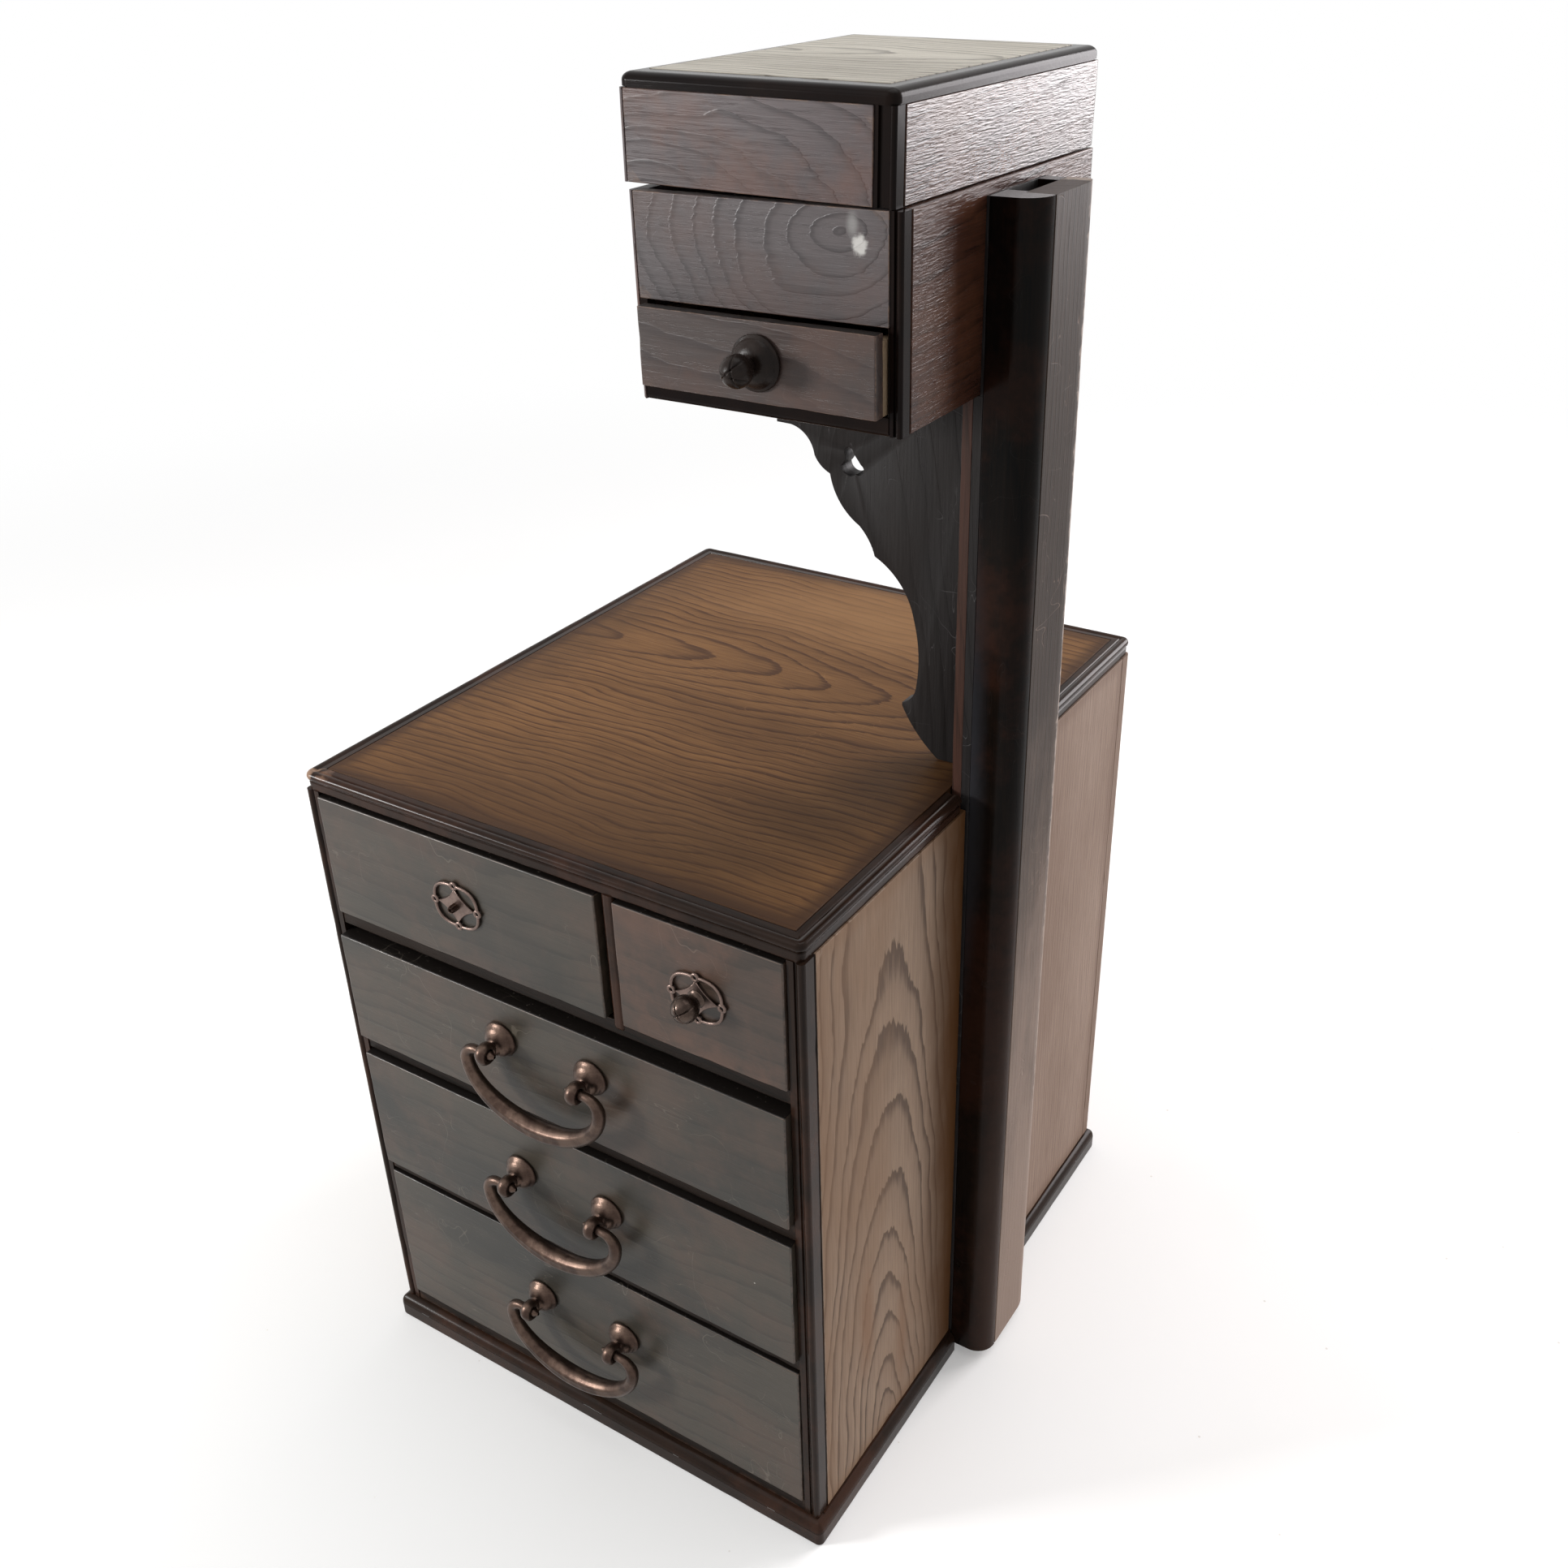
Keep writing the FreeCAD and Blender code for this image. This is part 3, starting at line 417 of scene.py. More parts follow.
class Paint:
    """The shader nodes of a new material or of the world."""

    def __init__(self, owner):
        owner.use_nodes = True
        self.owner = owner
        self.tree = owner.node_tree
        self.tree.nodes.clear()

    def node(self, kind, values=None, **settings):
        made = self.tree.nodes.new(kind)
        for key, value in settings.items():
            setattr(made, key, value)
        for key, value in (values or {}).items():
            self.give(made.inputs[key], value)
        return made

    def give(self, socket, value):
        if isinstance(value, bpy.types.NodeSocket):
            self.tree.links.new(value, socket)
        elif value is not None:
            socket.default_value = value

    def math(self, operation, first, second=None, third=None):
        values = {0: first, 1: second, 2: third}
        return self.node("ShaderNodeMath", values, operation=operation).outputs[0]

    def scaled(self, place, factors):
        return self.node("ShaderNodeVectorMath", {0: place, 1: factors}, operation="MULTIPLY").outputs[0]

    def noise(self, place, factors, detail=3.0, roughness=0.55, distortion=0.0):
        values = {"Vector": self.scaled(place, factors), "Scale": 1.0, "Detail": detail,
                  "Roughness": roughness, "Distortion": distortion}
        return self.node("ShaderNodeTexNoise", values).outputs["Fac"]

    def between(self, value, low, high, start=0.0, end=1.0):
        """Value's place between low and high, smoothly, as a number from start to end."""
        values = {"Value": value, "From Min": low, "From Max": high, "To Min": start, "To Max": end}
        made = self.node("ShaderNodeMapRange", values, interpolation_type="SMOOTHSTEP")
        return made.outputs["Result"]

    def mix(self, share, first, second):
        made = self.node("ShaderNodeMix", data_type="RGBA")
        self.give(made.inputs["Factor"], share)
        for socket, value in ((made.inputs[6], first), (made.inputs[7], second)):
            self.give(socket, value + (1.0,) if isinstance(value, tuple) else value)
        return made.outputs[2]

    def attribute(self, name, output):
        return self.node("ShaderNodeAttribute", attribute_name=name).outputs[output]

    def seen(self):
        """1 on rays from the camera, from gloss and through glass, and 0 on those that light the object."""
        path = self.node("ShaderNodeLightPath").outputs
        direct = self.math("MAXIMUM", path["Is Camera Ray"], path["Is Glossy Ray"])
        return self.math("MAXIMUM", direct, path["Is Transmission Ray"])

    def finish(self, **sockets):
        """Join a shader with the given values to the output."""
        shader = self.node("ShaderNodeBsdfPrincipled")
        for key, value in sockets.items():
            value = value + (1.0,) if isinstance(value, tuple) and len(value) == 3 else value
            self.give(shader.inputs[key.replace("_", " ")], value)
        output = self.node("ShaderNodeOutputMaterial")
        self.tree.links.new(shader.outputs[0], output.inputs["Surface"])
        return self.owner


def wood(name, light, dark, ring=6.0, pith=(0.0, -30.0), slope=0.10, sway=6.0, contrast=0.8,
         streak=0.35, pores=0.35, stain=(0.02, 0.012, 0.008), stains=0.3, worn_colour=None,
         edge_width=2.0, dark_edge=0.0, roughness=0.45, bump=0.25, specks=0.0, scratches=0.0, patches=(),
         film=None, film_share=0.0, level=0.5, ripple=0.0, bow=0.0, clouds=(0.006, 0.014), ridge=0.35,
         shade_and_dust_on_top=False):
    """Wood with year rings that arch where the board cuts them aslant, fibres, pores, stains and wear.

    Ring is a ring's width and pith the tree's middle, seen from the board's own middle. A patch is a place
    along and across the grain, its reach both ways, its softness, its colour and its strength.
    """
    paint = Paint(bpy.data.materials.new(name))
    place = paint.attribute("wood", "Vector")
    edge = paint.attribute("edge", "Fac")
    seed = paint.attribute("seed", "Fac")
    shift = paint.node("ShaderNodeCombineXYZ", {
        0: paint.math("MULTIPLY", seed, 131.7), 1: paint.math("MULTIPLY", seed, 57.3),
        2: paint.math("MULTIPLY", seed, 89.1)}).outputs[0]
    loose = paint.node("ShaderNodeVectorMath", {0: place, 1: shift}, operation="ADD").outputs[0]
    parts = paint.node("ShaderNodeSeparateXYZ", {0: place}).outputs
    drift = paint.noise(loose, (0.011, 0.018, 0.02), 2.0)
    lift = paint.noise(loose, (0.016, 0.012, 0.02), 2.0)
    across = paint.math("MULTIPLY_ADD", drift, sway * 2, paint.math("SUBTRACT", parts[1], pith[0] + sway))
    depth = paint.math("MULTIPLY_ADD", parts[0], slope, paint.math("SUBTRACT", parts[2], pith[1]))
    if bow:
        depth = paint.math("MULTIPLY_ADD", paint.math("MULTIPLY", parts[0], parts[0]), -bow, depth)
    depth = paint.math("MULTIPLY_ADD", lift, sway * 0.7, depth)
    radius = paint.math("SQRT", paint.math("ADD", paint.math("POWER", paint.math("ABSOLUTE", across), 2.0),
                                           paint.math("POWER", paint.math("ABSOLUTE", depth), 2.0)))
    jitter = paint.noise(loose, (0.05, 0.5, 0.5), 3.0)
    phase = paint.math("MULTIPLY_ADD", jitter, 0.35, paint.math("DIVIDE", radius, ring))
    uneven = paint.noise(paint.node("ShaderNodeCombineXYZ", {0: phase}).outputs[0], (0.55, 1, 1), 1.0)
    phase = paint.math("MULTIPLY_ADD", uneven, 1.2, phase)
    year = paint.math("FRACT", phase)
    late = paint.math("MULTIPLY_ADD", paint.between(year, 0.66, 0.93), 0.72,
                      paint.between(year, 0.1, 0.9, 0.0, 0.28))
    late = paint.math("MULTIPLY", late, paint.between(year, 1.0, 0.95))
    fibres = paint.noise(loose, (0.035, 1.1, 1.1), 4.0, 0.65)
    fine = paint.noise(loose, (0.09, 3.4, 3.4), 2.0, 0.6)
    dashes = paint.math("MULTIPLY", paint.between(fine, 0.56, 0.72), paint.between(year, 0.75, 0.1))
    cloud = paint.noise(loose, (clouds[0], clouds[1], clouds[1]), 4.0, 0.6)
    tone = paint.math("MULTIPLY", late, contrast)
    tone = paint.math("MULTIPLY_ADD", paint.between(fibres, 0.35, 0.7), streak, tone)
    tone = paint.math("MULTIPLY_ADD", dashes, pores, tone)
    tone = paint.node("ShaderNodeClamp", {0: tone}).outputs[0]
    colour = paint.mix(tone, light, dark)
    colour = paint.mix(paint.math("MULTIPLY", paint.between(cloud, 0.40, 0.68), stains), colour, stain)
    rough = paint.math("MULTIPLY_ADD", cloud, 0.16, roughness - 0.08)
    if film is not None:
        thin = paint.noise(loose, (0.02, 0.02, 0.02), 5.0, 0.7)
        colour = paint.mix(paint.math("MULTIPLY", paint.between(thin, 0.42, 0.66), film_share), colour, film)
    if dark_edge:
        frayed = paint.math("MULTIPLY_ADD", cloud, -9.0, edge)
        colour = paint.mix(paint.between(frayed, 4.0, -3.5, 0.0, dark_edge), colour, stain)
    if worn_colour is not None:
        ragged = paint.noise(loose, (0.12, 0.3, 0.3), 4.0, 0.7)
        near = paint.between(edge, edge_width, 0.0)
        rubbed = paint.math("MULTIPLY", near, paint.between(ragged, 0.42, 0.62))
        colour = paint.mix(rubbed, colour, worn_colour)
    # Flagged top faces of the drawer fronts: a near-black painted shade for the dark gap under the rail, with
    # real pale dust specks on it.
    if shade_and_dust_on_top:
        dust = paint.noise(loose, (1.1, 1.1, 1.1), 2.0)
        grime = paint.mix(paint.between(dust, 0.70, 0.76), (0.008, 0.006, 0.005), (0.16, 0.14, 0.12))
        colour = paint.mix(paint.between(edge, -1.0, -3.0), colour, grime)
    height = paint.math("MULTIPLY_ADD", fibres, 0.5, paint.math("MULTIPLY", late, ridge))
    height = paint.math("SUBTRACT", height, paint.math("MULTIPLY", dashes, 0.5))
    if ripple:
        wave = paint.noise(loose, (0.20, 1.7, 1.7), 2.0, 0.5)
        height = paint.math("MULTIPLY_ADD", wave, ripple, height)
    if scratches:
        for factors in ((0.021, 0.16, 0.16), (0.05, 0.03, 0.05)):
            field = paint.noise(loose, factors, 2.0, 0.5, 0.2)
            line = paint.between(paint.math("ABSOLUTE", paint.math("SUBTRACT", field, 0.5)), 0.0035, 0.0005)
            some = paint.between(paint.noise(loose, (0.03, 0.03, 0.03), 2.0), 0.5, 0.62)
            mark = paint.math("MULTIPLY", paint.math("MULTIPLY", line, some), scratches)
            colour = paint.mix(mark, colour, tuple(min(1.0, c * 2.6 + 0.03) for c in light))
            height = paint.math("SUBTRACT", height, mark)
    if specks:
        cells = paint.node("ShaderNodeTexVoronoi", {"Vector": paint.scaled(loose, (0.045, 0.045, 0.045)),
                                                    "Scale": 1.0, "Randomness": 1.0})
        chosen = paint.between(paint.node("ShaderNodeSeparateXYZ", {0: cells.outputs["Color"]}).outputs[0],
                               0.70, 0.72)
        dot = paint.between(cells.outputs["Distance"], 0.024, 0.012)
        colour = paint.mix(paint.math("MULTIPLY", paint.math("MULTIPLY", dot, chosen), specks), colour,
                           (0.62, 0.58, 0.52))
    for x, y, wide, tall, soft, tint, share in patches:
        apart = paint.node("ShaderNodeCombineXYZ", {
            0: paint.math("DIVIDE", paint.math("SUBTRACT", parts[0], x), wide),
            1: paint.math("DIVIDE", paint.math("SUBTRACT", parts[1], y), tall)}).outputs[0]
        far = paint.node("ShaderNodeVectorMath", {0: apart}, operation="LENGTH").outputs["Value"]
        fray, swing = ((0.22, 0.22, 0.22), 1.6) if soft < 0.8 else ((0.02, 0.06, 0.06), 0.8)
        far = paint.math("MULTIPLY_ADD", paint.noise(loose, fray, 4.0, 0.6), swing,
                         paint.math("SUBTRACT", far, swing / 2))
        colour = paint.mix(paint.between(far, 1.0, 1.0 - soft, 0.0, share), colour, tint)
    relief = paint.node("ShaderNodeBump", {"Height": height, "Strength": bump, "Distance": 0.0003}).outputs[0]
    return paint.finish(Base_Color=colour, Roughness=rough, Normal=relief, Specular_IOR_Level=level)


def metal(name, bright, dull, roughness=0.34, patina=0.5, metallic=0.9, level=0.5):
    """Bronze with a brown patina in patches."""
    paint = Paint(bpy.data.materials.new(name))
    place = paint.attribute("wood", "Vector")
    cloud = paint.noise(place, (0.16, 0.16, 0.16), 4.0, 0.6)
    grit = paint.noise(place, (1.3, 1.3, 1.3), 3.0, 0.6)
    share = paint.math("MULTIPLY", paint.between(cloud, 0.35, 0.65), patina)
    colour = paint.mix(share, bright, dull)
    colour = paint.mix(paint.between(grit, 0.55, 0.75, 0.0, 0.4), colour, dull)
    rough = paint.math("MULTIPLY_ADD", grit, 0.18, roughness - 0.06)
    relief = paint.node("ShaderNodeBump", {"Height": paint.math("MULTIPLY_ADD", cloud, 2.0, grit),
                                           "Strength": 0.25, "Distance": 0.0002}).outputs[0]
    return paint.finish(Base_Color=colour, Metallic=metallic, Roughness=rough, Normal=relief,
                        Specular_IOR_Level=level)


front_wood = dict(light=(0.050, 0.041, 0.030), dark=(0.019, 0.016, 0.012), ring=8.0, pith=(30.0, -22.0),
                  slope=0.04, sway=12.0, contrast=0.5, streak=0.25, pores=0.15, stain=(0.018, 0.017, 0.014),
                  stains=1.0, worn_colour=(0.13, 0.085, 0.06), edge_width=0.7, roughness=0.36, bump=0.22,
                  specks=0.7, scratches=0.4, film=(0.088, 0.050, 0.034), film_share=0.45, level=0.38,
                  shade_and_dust_on_top=True)
drawer_wood = wood("drawer_front_wood", **front_wood)
red_wood = wood("reddish_front_wood", **{**front_wood, "light": (0.062, 0.039, 0.028), "film_share": 0.85,
                                        "film": (0.100, 0.052, 0.034), "stains": 0.5})
moulding = dict(light=(0.022, 0.012, 0.008), dark=(0.007, 0.004, 0.003), ring=5.0, contrast=0.4,
                streak=0.3, stains=0.4, roughness=0.20, bump=0.05, specks=0.4, level=0.10,
                film=(0.064, 0.027, 0.016), film_share=0.55)
moulding_wood = wood("moulding_wood", **moulding)
corner_walk = (BACK - POST_BACK - MOULDING_GAP) + (RIGHT - LEFT) + (BACK - FRONT)
top_moulding_wood = wood("top_moulding_wood", **moulding, patches=(
    (corner_walk, -1.5, 3.2, 2.6, 0.6, (0.30, 0.19, 0.13), 1.0),
    (corner_walk + 9.0, -0.8, 5.0, 0.9, 0.6, (0.16, 0.09, 0.06), 1.0)))
rim_wood = wood("rim_wood", **{**moulding, "light": (0.006, 0.004, 0.004), "film_share": 0.08, "level": 0.06})
strip_wood = wood("strip_wood", (0.066, 0.029, 0.020), (0.030, 0.014, 0.010), ring=5.0, contrast=0.5,
                  streak=0.6, stains=0.5, roughness=0.5, bump=0.3, level=0.2)
# Rails: dirty dark brown wood, darkened to near black by painted shade where the drawer fronts stand proud
# over them; the specks are dust.
rail_wood_with_painted_shade = wood("rail_wood_with_painted_shade", (0.013, 0.008, 0.006), (0.005, 0.004, 0.003), ring=5.0, contrast=0.6,
                 streak=0.6, stains=0.6, worn_colour=(0.075, 0.042, 0.028), edge_width=0.4, roughness=0.5,
                 bump=0.35, specks=0.8, level=0.12)
top_wood = wood("top_wood", (0.222, 0.108, 0.040), (0.068, 0.028, 0.011), ring=4.4, pith=(27.0, -16.0),
                slope=0.16, sway=11.0, contrast=0.85, streak=0.5, pores=0.5, stain=(0.045, 0.020, 0.010),
                stains=0.35, clouds=(0.005, 0.030), bow=-0.0004, dark_edge=0.85,
                patches=((0.0, -105.0, 190.0, 62.0, 1.0, (0.052, 0.025, 0.011), 0.5),
                         (92.0, -30.0, 52.0, 75.0, 1.0, (0.046, 0.022, 0.010), 0.5),
                         (-95.0, 20.0, 26.0, 150.0, 1.0, (0.060, 0.030, 0.014), 0.45),
                         (10.0, 95.0, 110.0, 50.0, 1.0, (0.32, 0.170, 0.074), 0.6)),
                roughness=0.50, bump=0.3, specks=0.35, scratches=0.08, level=0.10)
side = dict(light=(0.285, 0.196, 0.134), dark=(0.080, 0.047, 0.029), ring=4.9, pith=(-5.0, -30.0),
            slope=0.17, bow=0.0004, sway=9.0, contrast=0.95, streak=0.3, pores=0.45,
            stain=(0.19, 0.105, 0.055), stains=0.5, dark_edge=0.45, worn_colour=(0.30, 0.22, 0.16),
            edge_width=0.8, roughness=0.6, bump=0.35, level=0.25)
left_wood = wood("left_side_wood", **side)
panel_start, panel_end = span("right_front_panel")
panel_half = (panel_end[1] - panel_start[1]) / 2
# The first patch darkens the panel's end beside the post: partly the board's own brown, partly painted shade
# from the post.
side_wood = wood("side_wood", **side, patches=(
    (0.0, panel_half + 2.0, 400.0, 36.0, 0.85, (0.088, 0.033, 0.006), 1.0),
    (-60.0, -20.0, 40.0, 8.0, 0.9, (0.19, 0.098, 0.050), 0.75),
    (-95.0, 8.0, 45.0, 7.0, 0.9, (0.19, 0.098, 0.050), 0.6)))
rear_wood = wood("rear_wood", (0.330, 0.235, 0.180), (0.180, 0.115, 0.084), ring=2.6, pith=(160.0, -20.0),
                 slope=0.02, sway=5.0, contrast=0.45, streak=0.5, pores=0.6, stain=(0.13, 0.072, 0.045),
                 stains=0.35, dark_edge=0.4, roughness=0.6, bump=0.35, level=0.25)
rubbed = dict(worn_colour=(0.19, 0.12, 0.085), edge_width=0.5, specks=0.8, scratches=0.06)
# The grey, faintly lavender tone is partly the dark wood, partly a painted sheen of the bright room on the
# lacquer.
lid_wood_with_painted_sheen = wood("lid_wood_with_painted_sheen", (0.112, 0.089, 0.090), (0.046, 0.035, 0.036), ring=4.6, pith=(-20.0, -9.9),
                slope=0.45, sway=14.0, contrast=0.85, streak=0.4, pores=0.45, stain=(0.032, 0.024, 0.024),
                stains=0.6, roughness=0.38, level=0.28, bump=0.45, film=(0.140, 0.070, 0.052),
                film_share=0.6, **rubbed)
upper_drawer_wood = wood("upper_drawer_wood", (0.062, 0.045, 0.040), (0.030, 0.021, 0.020), ring=7.0,
                         pith=(-26.0, -17.0), slope=0.22, sway=12.0, contrast=0.6, streak=0.3,
                         stain=(0.030, 0.020, 0.018), stains=0.4, roughness=0.38, level=0.32,
                         shade_and_dust_on_top=True, bump=0.4, film=(0.090, 0.046, 0.033), film_share=0.6, **rubbed)
# The grey, faintly lavender tone is partly the dark wood, partly a painted sheen of the bright room on the
# lacquer.
box_wood_with_painted_sheen = wood("box_wood_with_painted_sheen", (0.100, 0.084, 0.085), (0.040, 0.032, 0.033), ring=4.2, pith=(6.0, 17.0),
                slope=0.55, sway=15.0, contrast=0.8, film=(0.120, 0.064, 0.050), film_share=0.35,
                streak=0.3, pores=0.3, stain=(0.034, 0.026, 0.025), stains=0.5, roughness=0.40,
                level=0.34, bump=0.45, **rubbed,
                patches=((34.5, 6.0, 3.2, 3.6, 0.5, (0.58, 0.56, 0.53), 1.0),
                         (32.0, 11.5, 2.6, 4.6, 0.9, (0.30, 0.29, 0.28), 0.75)))
# The lid top's pale grey colour is a painted sheen: the bright room reflected at a grazing angle on dark
# wood, so its specular level is low.
lid_top_painted_sheen_wood = wood("lid_top_painted_sheen_wood", (0.62, 0.575, 0.485), (0.22, 0.195, 0.155), ring=4.5,
                    pith=(6.0, -9.0), slope=0.16, sway=12.0, contrast=0.85, streak=0.3, pores=0.3,
                    stain=(0.11, 0.09, 0.07), stains=0.3, roughness=0.36, bump=0.8, level=0.06)
gloss = dict(light=(0.078, 0.029, 0.017), dark=(0.026, 0.011, 0.008), ring=5.5, pith=(40.0, -26.0),
             slope=0.08, sway=7.0, contrast=0.6, streak=0.5, pores=0.5, stain=(0.014, 0.008, 0.006),
             stains=0.7, worn_colour=(0.10, 0.05, 0.03), edge_width=0.3, roughness=0.24, bump=0.46,
             ripple=0.85, ridge=0.06, level=0.42, film=(0.130, 0.052, 0.024), film_share=0.45)
lid_gloss = wood("lid_gloss_wood", **gloss)
box_gloss = wood("box_gloss_wood", **{**gloss, "level": 0.15})
post_wood_with_painted_reflections = wood("post_wood_with_painted_reflections", (0.006, 0.004, 0.003), (0.002, 0.002, 0.002), ring=6.0, contrast=0.5,
                 streak=0.6, stains=0.3, roughness=0.20, bump=0.08, level=0.06,
                 film=(0.045, 0.016, 0.009), film_share=0.5, scratches=0.15,
                 # The grey-blue patch up the left of the casing's front is a painted reflection of a window.
                 # The brown patch low on the rounded corner is partly reddish-brown wood, partly a painted
                 # highlight.
                 patches=((40.0, -9.0, 130.0, 8.0, 0.9, (0.030, 0.031, 0.036), 0.75),
                          (-222.0, 9.0, 280.0, 12.0, 0.9, (0.054, 0.030, 0.022), 0.8)))
plank_wood = wood("plank_wood", (0.052, 0.032, 0.022), (0.016, 0.010, 0.007), ring=3.0, pith=(60.0, -14.0),
                  slope=0.02, contrast=0.5, streak=0.6, stains=0.5, worn_colour=(0.24, 0.18, 0.14),
                  edge_width=0.6, roughness=0.46, bump=0.35, scratches=0.9, level=0.12,
                  patches=((0.0, (POST_BACK - POST_FRONT - SEAM) / 2, 900.0, 5.5, 0.5,
                            (0.36, 0.29, 0.245), 1.0),
                           (-222.0, 2.0, 330.0, 90.0, 0.9, (0.26, 0.185, 0.145), 1.0)))
bracket_wood = wood("bracket_wood", (0.020, 0.018, 0.018), (0.008, 0.007, 0.007), ring=4.0, contrast=0.5,
                    streak=0.5, stains=0.3, roughness=0.5, bump=0.5, scratches=0.6, level=0.15)
raw_wood = wood("raw_wood", (0.42, 0.30, 0.19), (0.27, 0.18, 0.11), ring=4.5, contrast=0.6, streak=0.4,
                stain=(0.22, 0.15, 0.09), stains=0.4, roughness=0.65, bump=0.3)
bronze = metal("bronze", (0.102, 0.067, 0.051), (0.026, 0.014, 0.011), roughness=0.33, patina=0.7)
plate_bronze = metal("plate_bronze", (0.19, 0.135, 0.115), (0.045, 0.029, 0.024), roughness=0.30)
dark_bronze = metal("dark_bronze", (0.024, 0.016, 0.013), (0.008, 0.005, 0.004), roughness=0.26,
                    patina=0.7, metallic=0.0, level=0.12)
ball_bronze = metal("ball_bronze", (0.085, 0.060, 0.048), (0.024, 0.015, 0.012), roughness=0.24, patina=0.8)


# The chest

def make_base():
    shell = Shell()
    low, high = base_low, base_high
    height = high[2]
    notch_front, notch_back = POST_FRONT - 0.3, POST_BACK + 0.3
    corners = [(high[0], notch_back), (high[0], high[1]), (low[0], high[1]), (low[0], low[1]),
               (high[0], low[1]), (high[0], notch_front)]
    runs = [
        [(8.0, -height), (0.7, -height)],
        arc(0.8, 0.8 - height, 0.8, 270, 180, 4),
        [(0.0, 0.8 - height), (0.0, -4.8)],
        arc(4.4, -4.6, 4.4, 180, 90, 8),
        [(4.4, -0.2), (8.0, -0.2)],
    ]
    strip(shell, corners, runs, height, 2.6, wear=0.12, seed=1.3)
    block(shell, (low[0] + 7, low[1] + 7, 0), (RIGHT + 0.5, high[1] - 7, height - 0.1), 0, seed=1.7, step=40)
    shell.build("base_moulding", moulding_wood, "chest", "base_board")


def corner_section(side):
    """The outline of the front corner post on the given side, with its bead and fine grooves."""
    x, deep = RIGHT, CORNER_DEEP
    runs = [
        *sides((x - WALL, FRONT + deep), (x - WALL, FRONT + 0.45), (x - 3.9, FRONT + 0.45),
               (x - 3.7, FRONT + 1.1), (x - 3.1, FRONT + 1.1)),
        arc(x - 1.6, FRONT + 1.6, 1.6, 200, 360, 9),
        *sides((x, FRONT + 1.6), (x, FRONT + deep - 1.1), (x - 0.6, FRONT + deep - 0.9),
               (x - 0.6, FRONT + deep - 0.35), (x - 0.1, FRONT + deep), (x - WALL, FRONT + deep)),
    ]
    if side > 0:
        return runs
    return [[(-px, py) for px, py in run[::-1]] for run in runs[::-1]]


def make_carcass():
    low = base_high[2]
    shell = Shell()
    column(shell, corner_section(-1), low, UNDER, seed=2.1, wear=0.10)
    column(shell, corner_section(1), low, UNDER, seed=2.6, wear=0.10)
    shell.build("front_corner_posts", moulding_wood, "chest", "front_posts")
    shell = Shell()
    rear = BACK - CORNER_DEEP
    block(shell, (LEFT, rear, low), (LEFT + WALL, BACK, UNDER),
          rounds(0.2, x0=2.4, y1=2.4, z0=0, z1=0), 2, 3.1)
    block(shell, (RIGHT - WALL, rear, low), (RIGHT, BACK, UNDER),
          rounds(0.2, x1=2.4, y1=2.4, z0=0, z1=0), 2, 3.6)
    shell.build("rear_corner_posts", rear_wood, "chest", "rear_posts")
    board("left_wall", left_wood, "chest", "left_side", (LEFT, FRONT + CORNER_DEEP, low),
          (LEFT + WALL, rear, UNDER), 0.15, 2, 4.2)
    board("rear_wall", rear_wood, "chest", "back_panel", *span("back_panel"), 0.2, 2, 4.7)
    for node, material, seed in (("right_front_panel", side_wood, 0.0), ("right_rear_panel", rear_wood, 5.5)):
        start, end = [corner[1] for corner in span(node)]
        skin = RIGHT - 3.5
        rebate = 3.3
        thin = (start, end - rebate) if node == "right_front_panel" else (start + rebate, end)
        shell = Shell()
        block(shell, (skin, start, low), (RIGHT - 0.05, end, UNDER), rounds(0.25, x0=0), 2, seed)
        block(shell, (RIGHT - WALL, thin[0], low), (skin, thin[1], UNDER), 0, 2, seed + 0.5, step=30)
        shell.build(node + "_boards", material, "chest", node)
    shell = Shell()
    for rail_low, rail_high in rails():
        block(shell, (LEFT + WALL, FRONT + 0.8, rail_low), (RIGHT - WALL, FRONT + 14, rail_high),
              rounds(0.2, y0=0.7, z0=0.7, z1=0.7), 0, seed=rail_low / 31, wear=0.2)
    shell.build("front_rails", rail_wood_with_painted_shade, "chest", "drawer_rails")
    rail_low, rail_high = span("bottom_rail")
    board("lowest_rail", rail_wood_with_painted_shade, "chest", "bottom_rail", rail_low, rail_high - np.array([0, 0, 0.05]),
          rounds(0.2, y0=0.6, z1=0.6), 0, 6.4, wear=0.2)
    shell = Shell()
    middle_low, middle_high = span("drawer_divider")
    x = (middle_low[0] + middle_high[0]) / 2
    block(shell, (x - 2.5, FRONT + 0.15, middle_low[2] - 3.8), (x + 2.5, FRONT + 3.5, UNDER),
          rounds(0.2, y0=1.3, x0=1.8, x1=1.8, z0=1.8), 2, 7.2, wear=0.15)
    block(shell, (x - 2.5, FRONT + 3.5, middle_low[2]), (x + 2.5, middle_high[1], UNDER), 0, 2, 7.4, step=30)
    shell.build("small_divider", moulding_wood, "chest", "drawer_divider")


def rails():
    """Heights of the rails between the drawers, found from the drawers' fronts."""
    pairs = []
    for name, thick in (("third", 6.0), ("second", 8.0), ("left", 6.2)):
        top = span(name + "_drawer_front")[0][2] - 0.3
        pairs.append((top - thick, top))
    return pairs


